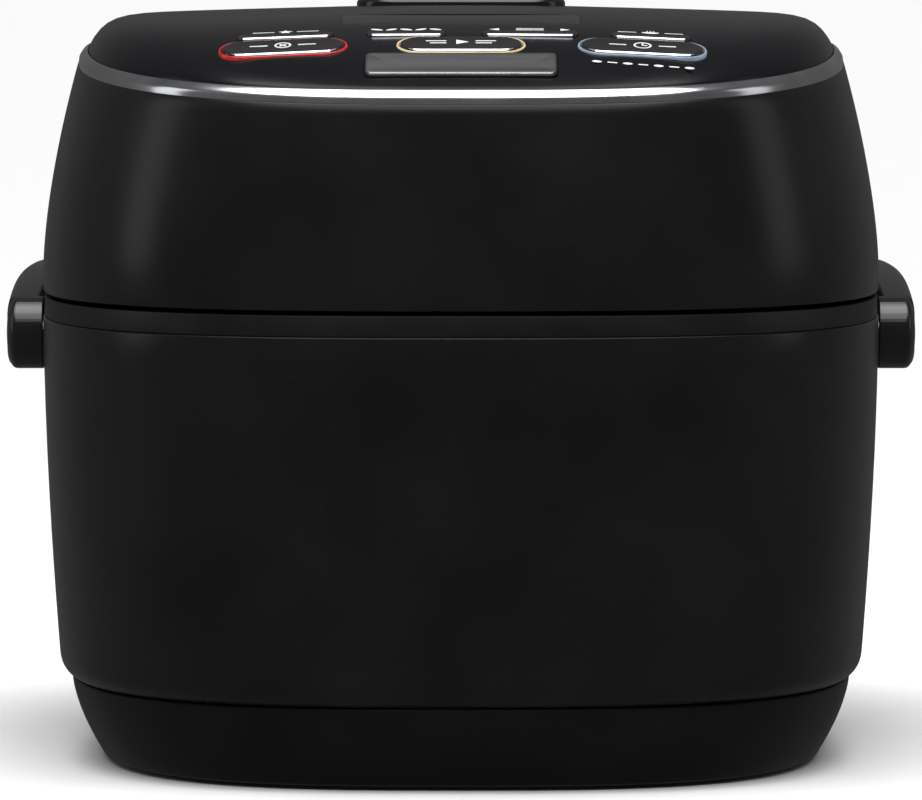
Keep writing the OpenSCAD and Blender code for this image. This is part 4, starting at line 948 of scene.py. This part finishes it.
def makeSteamCap():
    low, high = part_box("steam_cap")
    middleY, width, depth = middleOf("steam_cap").y, vent["w"], vent["d"]
    middle = shift(0, middleY)
    bottom = lid["crown"] - cap["skirt"]
    section = [(0, bottom)] + scaled(cap["section"], high.z)
    bm = bmesh.new()
    addLoft(bm, rectRings(middle, width, depth, vent["r"], section, 12, 0.3 * mm), ends="capped")
    piece = newObject("steamCap", bm, [handleBlack], 50)
    cutter = bmesh.new()
    for x in cap["slots"]:
        place = middle @ shift(x * mm, cap["slotY"])
        addPrism(cutter, softRect(*cap["slot"], 5), place, high.z - 3.5 * mm, high.z + 1 * mm)
    hollow = softRect(width - 2 * cap["wall"], depth - 2 * cap["wall"], 10 * mm)
    addPrism(cutter, hollow, middle, bottom - 1 * mm, high.z - cap["top"])
    shapeWith(piece, cutter)
    tube = bmesh.new()
    ends = (high.z - cap["tubeDown"], low.z)
    addLoft(tube, [roundRing(r * mm, ends[end], middleY, 48) for r, end in cap["tube"]])
    tube.from_mesh(piece.data)
    whole = newObject("steamCapWhole", tube, [handleBlack], 50)
    bpy.data.objects.remove(piece)
    whole.name = "steamCap"
    fit(whole, "cap", "panel_black", "steam_cap")


makeReleasePlate()
makeSteamCap()
print("release plate and steam cap made")


handle = {"w": 11.7 * mm, "low": 22.4 * mm, "grip": 15 * mm, "rise": 8.4 * mm, "riseOver": 110 * mm,
          "square": 3, "sectionPower": 0.42, "points": 32, "steps": 44, "eyeRound": 2.2 * mm,
          "eyeInner": 0.5 * mm, "dome": 1.3 * mm}


def makeHandle():
    width, low, power = handle["w"], handle["low"], 2 / handle["square"]
    pivot = Vector((0, midY, middleOf("handle_pins").z))
    outX, outY = handleHigh.x, handleHigh.y - midY
    midX, gripY, inY = outX - width / 2, outY - width / 2, outY - width
    steps, points = handle["steps"], handle["points"]
    quarter = [90 * ((k + 0.3) / (steps + 0.3)) ** 1.5 for k in range(steps + 1)]
    turns = [2 * pi * k / points for k in range(points)]
    rings = []
    for t in quarter + [180 - t for t in quarter[-2::-1]]:
        c, s = signedPower(cos(radians(t)), power), sin(radians(t)) ** power
        x, y = midX * c, gripY * s
        sideX = signedPower(c, handle["square"] - 1) / midX
        side = Vector((sideX, s ** (handle["square"] - 1) / gripY, 0)).normalized()
        z = pivot.z + handle["rise"] * (1 - (1 - min(1, y / handle["riseOver"])) ** 2)
        half = (low + (handle["grip"] - low) * min(1, y / inY) ** 4) / 2 - 0.2 * mm
        ring = []
        for turn in turns:
            a = signedPower(cos(turn), handle["sectionPower"]) * width / 2
            b = -signedPower(sin(turn), handle["sectionPower"]) * half
            ring.append(Vector((x + side.x * a, y + midY + side.y * a, z + b)))
        rings.append(ring)
    bm = bmesh.new()
    addLoft(bm, rings, ends="capped")
    piece = newObject("carryHandle", bm, [handleBlack], 50)
    # round eyes on the pivots, domed outwards
    radius, r, inner, brow = low / 2, handle["eyeRound"], handle["eyeInner"], width - handle["dome"]
    profile = [(1e-9, 0)] + [(radius - inner + px, inner + py) for px, py in arc(inner, -90, 0, 3)]
    profile += [(radius - r + px, brow - r + py) for px, py in arc(r, 0, 72, 6)]
    profile += [(radius * k, width - handle["dome"] * k * k) for k in (0.72, 0.55, 0.36, 0.18)]
    profile += [(1e-9, width)]
    turns = [2 * pi * i / 72 for i in range(72)]
    eyes = bmesh.new()
    for side in (-1, 1):
        rings = []
        for dist, along in profile:
            x = side * (outX - width + along)
            rings.append([pivot + Vector((x, dist * cos(turn), dist * sin(turn))) for turn in turns])
        addLoft(eyes, rings, ends="open")
    shapeWith(piece, eyes, "UNION")
    fit(piece, "handle", "gloss_black", "carry_handle")


makeHandle()
print("handle made")


# rim, throat and foot are pairs in millimetres: in from the flange, out from the wall, and radius
pot = {"wall": 2 * mm, "corner": 40 * mm, "wallIn": 9.7 * mm, "floorUp": 1 * mm, "points": 144,
       "rim": [(1.4, -3), (0.5, -2.75), (0, -2), (0, -1), (0.3, -0.3), (1.1, 0), (4, 0)],
       "throat": [(1.8, -0.8), (0, -1.6), (-1.5, -2.6), (-2, -4.6)],
       "foot": [(38.5, 1.2), (38.5, 0.3), (38.2, 0), (36.8, 0), (36.5, 0.3), (36.5, 1.2)],
       "marks": 5, "markFrom": 42, "markPitch": 11, "markLong": (9 * mm, 6 * mm), "markTurns": (60, 120)}


def makePot():
    centreY = (potLow.y + potHigh.y) / 2
    radius = halfWidth("pot_chamber") - pot["wallIn"]
    flange = (potHigh.x - potLow.x) / 2
    low, top = potLow.z + pot["floorUp"], potHigh.z
    corner, wall = pot["corner"], pot["wall"]
    shoulder = top - 3 * mm
    turns = [radians(4.5 * k) for k in range(21)]
    profile = [(1e-9, low)]
    profile += [(radius - corner + corner * sin(t), low + corner - corner * cos(t)) for t in turns]
    profile += [(radius, low + corner + (shoulder - low - corner) * k / 4) for k in (1, 2, 3)]
    profile += [(radius, shoulder - 0.4 * mm), (radius + 0.4 * mm, shoulder)]
    profile += [(flange - inset, z) for inset, z in scaled(pot["rim"], top)]
    profile += [(radius + out, z) for out, z in scaled(pot["throat"], top)]
    bend = corner - wall
    profile += [(radius - corner + bend * sin(t), low + corner - bend * cos(t)) for t in turns[::-1]]
    profile += [(1e-9, low + wall)]
    bm = bmesh.new()
    addLoft(bm, [roundRing(r, z, centreY, pot["points"]) for r, z in profile], ends="open")
    bmesh.ops.remove_doubles(bm, verts=bm.verts, dist=hairline)
    bmesh.ops.recalc_face_normals(bm, faces=bm.faces)
    for face in bm.faces:
        middle = face.calc_center_median()
        reach = sqrt(middle.x ** 2 + (middle.y - centreY) ** 2)
        inward = face.normal.x * middle.x + face.normal.y * (middle.y - centreY) < 0
        deep = middle.z > low + wall * 0.6 and face.normal.z > 0.3
        face.material_index = 1 if (inward or deep) and reach < radius + 2 * mm else 0
    # short level marks down the inner wall
    plain = set(bm.faces)
    for k in range(pot["marks"]):
        height = low + (pot["markFrom"] + pot["markPitch"] * k) * mm
        ring = softRect(0.7 * mm, pot["markLong"][k % 2], 0.3 * mm, 2)
        for turn in pot["markTurns"]:
            spot = shift(0, centreY, height) @ Matrix.Rotation(radians(turn), 4, "Z")
            spot = spot @ shift(radius - wall, 0) @ Matrix.Rotation(-pi / 2, 4, "Y")
            addPrism(bm, ring, spot, -0.3 * mm, 0.12 * mm)
    for face in set(bm.faces) - plain:
        face.material_index = 2
    # foot ring under the pot
    addLoft(bm, [roundRing(r, z, centreY, 96) for r, z in scaled(pot["foot"], potLow.z)])
    piece = newObject("innerPot", bm, [potOutside, potInside, legendWhite], 40)
    fit(piece, "body", "pot_coating", "inner_pot")


makePot()
print("pot made")


sensorSpring = {"wire": 1.3 * mm, "turns": 7, "perTurn": 20, "travel": 2 * mm, "spare": 0.1 * mm}


# open coil under the pot's sensor, built at one length; the real one shortens as the sensor is pressed
def makeSensorSpring():
    low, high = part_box("sensor_spring")
    wire, turns, tall = sensorSpring["wire"], sensorSpring["turns"], high.z - low.z
    centre = Vector((0, (low.y + high.y) / 2, 0))
    steps = turns * sensorSpring["perTurn"]
    start = shift(high.x - wire / 2, centre.y, low.z + wire / 2) @ Matrix.Rotation(pi / 2, 4, "X")
    bm = bmesh.new()
    bmesh.ops.create_circle(bm, segments=10, radius=wire / 2, matrix=start)
    bmesh.ops.spin(bm, geom=bm.verts[:] + bm.edges[:], cent=centre, axis=(0, 0, 1), angle=2 * pi * turns,
                   dvec=(0, 0, (tall - wire) / steps), steps=steps)
    bmesh.ops.holes_fill(bm, edges=[edge for edge in bm.edges if edge.is_boundary])
    piece = newObject("sensorSpring", bm, [springSteel], 60)
    fit(piece, "body", "spring_steel", "sensor_spring")
    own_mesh(piece)


makeSensorSpring()
print("sensor spring made")


# finishes on the frame's own pieces
nodeFinish = {
    footRubber: ["rubber_feet"],
    steelBright: ["base_screws", "board_screws", "hinge_pin", "latch_keeper", "handle_pins", "lid_screws",
                  "hinge_screws", "latch_bracket", "latch_pin", "inlet_pins"],
    springSteel: ["torsion_spring", "latch_spring"],
    chamberAlu: ["pot_chamber", "heat_sink", "thermostat_sensor"],
    lidAlu: ["inner_lid"],
    formerIvory: ["coil_former"],
    wireCopper: ["induction_coil"],
    ferriteGrey: ["ferrite_bars"],
    micaTan: ["side_heater", "lid_heater"],
    boardGreen: ["main_board", "control_board"],
    partBlue: ["power_parts", "display_module", "key_switches"],
    collarBlack: ["fan_housing", "fan_rotor", "power_inlet", "hinge_sleeve", "hinge_arms", "steam_duct",
                  "latch_hook"],
    linerGrey: ["lid_liner"],
    sealWhite: ["lid_gasket", "duct_seal"],
}
for material, names in nodeFinish.items():
    for name in names:
        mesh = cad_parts[name].data
        mesh.materials.clear()
        mesh.materials.append(material)
print("frame pieces finished")


# lamps: place, aim, width, depth and power
studio = {"eye": 286 * mm, "away": 2700 * mm, "lens": 359.5, "aim": 3.574, "pale": 1.0, "air": 0.11,
          "sun": 3.75, "sunSpread": 70, "sunTilt": 12, "floorSize": 30,
          "lamps": {"overhead": ((0, -0.25, 1.7), (0, -0.1, 0.1), 1.5, 0.9, 12),
                    "leftBox": ((-2.2, 0.1, 0.9), (0, 0, 0.12), 0.7, 1.4, 3.5),
                    "rightBox": ((2.2, 0.1, 0.9), (0, 0, 0.12), 0.7, 1.4, 2.5)}}


def makeLamp(name, place, aim, width, depth, power):
    lamp = bpy.data.lights.new(name, "AREA")
    lamp.shape = "RECTANGLE"
    lamp.size = width
    lamp.size_y = depth
    lamp.energy = power
    holder = bpy.data.objects.new(name, lamp)
    holder.location = place
    holder.rotation_euler = (Vector(aim) - Vector(place)).to_track_quat("-Z", "Y").to_euler()
    scene.collection.objects.link(holder)


def makeSun():
    sun = bpy.data.lights.new("sky", "SUN")
    sun.energy = studio["sun"]
    sun.angle = radians(studio["sunSpread"])
    holder = bpy.data.objects.new("sky", sun)
    holder.rotation_euler = (radians(studio["sunTilt"]), 0, 0)
    scene.collection.objects.link(holder)


# the air is pale where it is seen and dim where it only lights or is mirrored
def makeAir():
    world = bpy.data.worlds.new("studioAir")
    world.use_nodes = True
    tree = world.node_tree
    seen = tree.nodes.new("ShaderNodeLightPath").outputs["Is Camera Ray"]
    back = tree.nodes["Background"]
    back.inputs["Color"].default_value = (1, 1, 1, 1)
    tree.links.new(spread(tree, seen, studio["air"], studio["pale"], 0, 1), back.inputs["Strength"])
    scene.world = world


def makeFloor():
    bm = bmesh.new()
    bmesh.ops.create_grid(bm, x_segments=1, y_segments=1, size=studio["floorSize"])
    pale = finish("floorPale", (0.8, 0.8, 0.8), (0.81, 0.81, 0.81), (0.75, 0.8), scale=40)
    floor = newObject("floor", bm, [pale])
    floor.visible_glossy = False    # the gloss mirrors the dim air and the lamps only


def makeCamera():
    eye = bpy.data.cameras.new("eye")
    eye.lens = studio["lens"]
    eye.sensor_width = 36
    eye.clip_end = 50
    camera = bpy.data.objects.new("eye", eye)
    camera.location = (0, cadBox[0].y - studio["away"], studio["eye"])
    camera.rotation_euler = (radians(90 - studio["aim"]), 0, 0)
    scene.collection.objects.link(camera)
    scene.camera = camera


makeFloor()
makeAir()
makeSun()
for name, lamp in studio["lamps"].items():
    makeLamp(name, *lamp)
makeCamera()
scene.view_settings.view_transform = "Standard"
print("studio made")
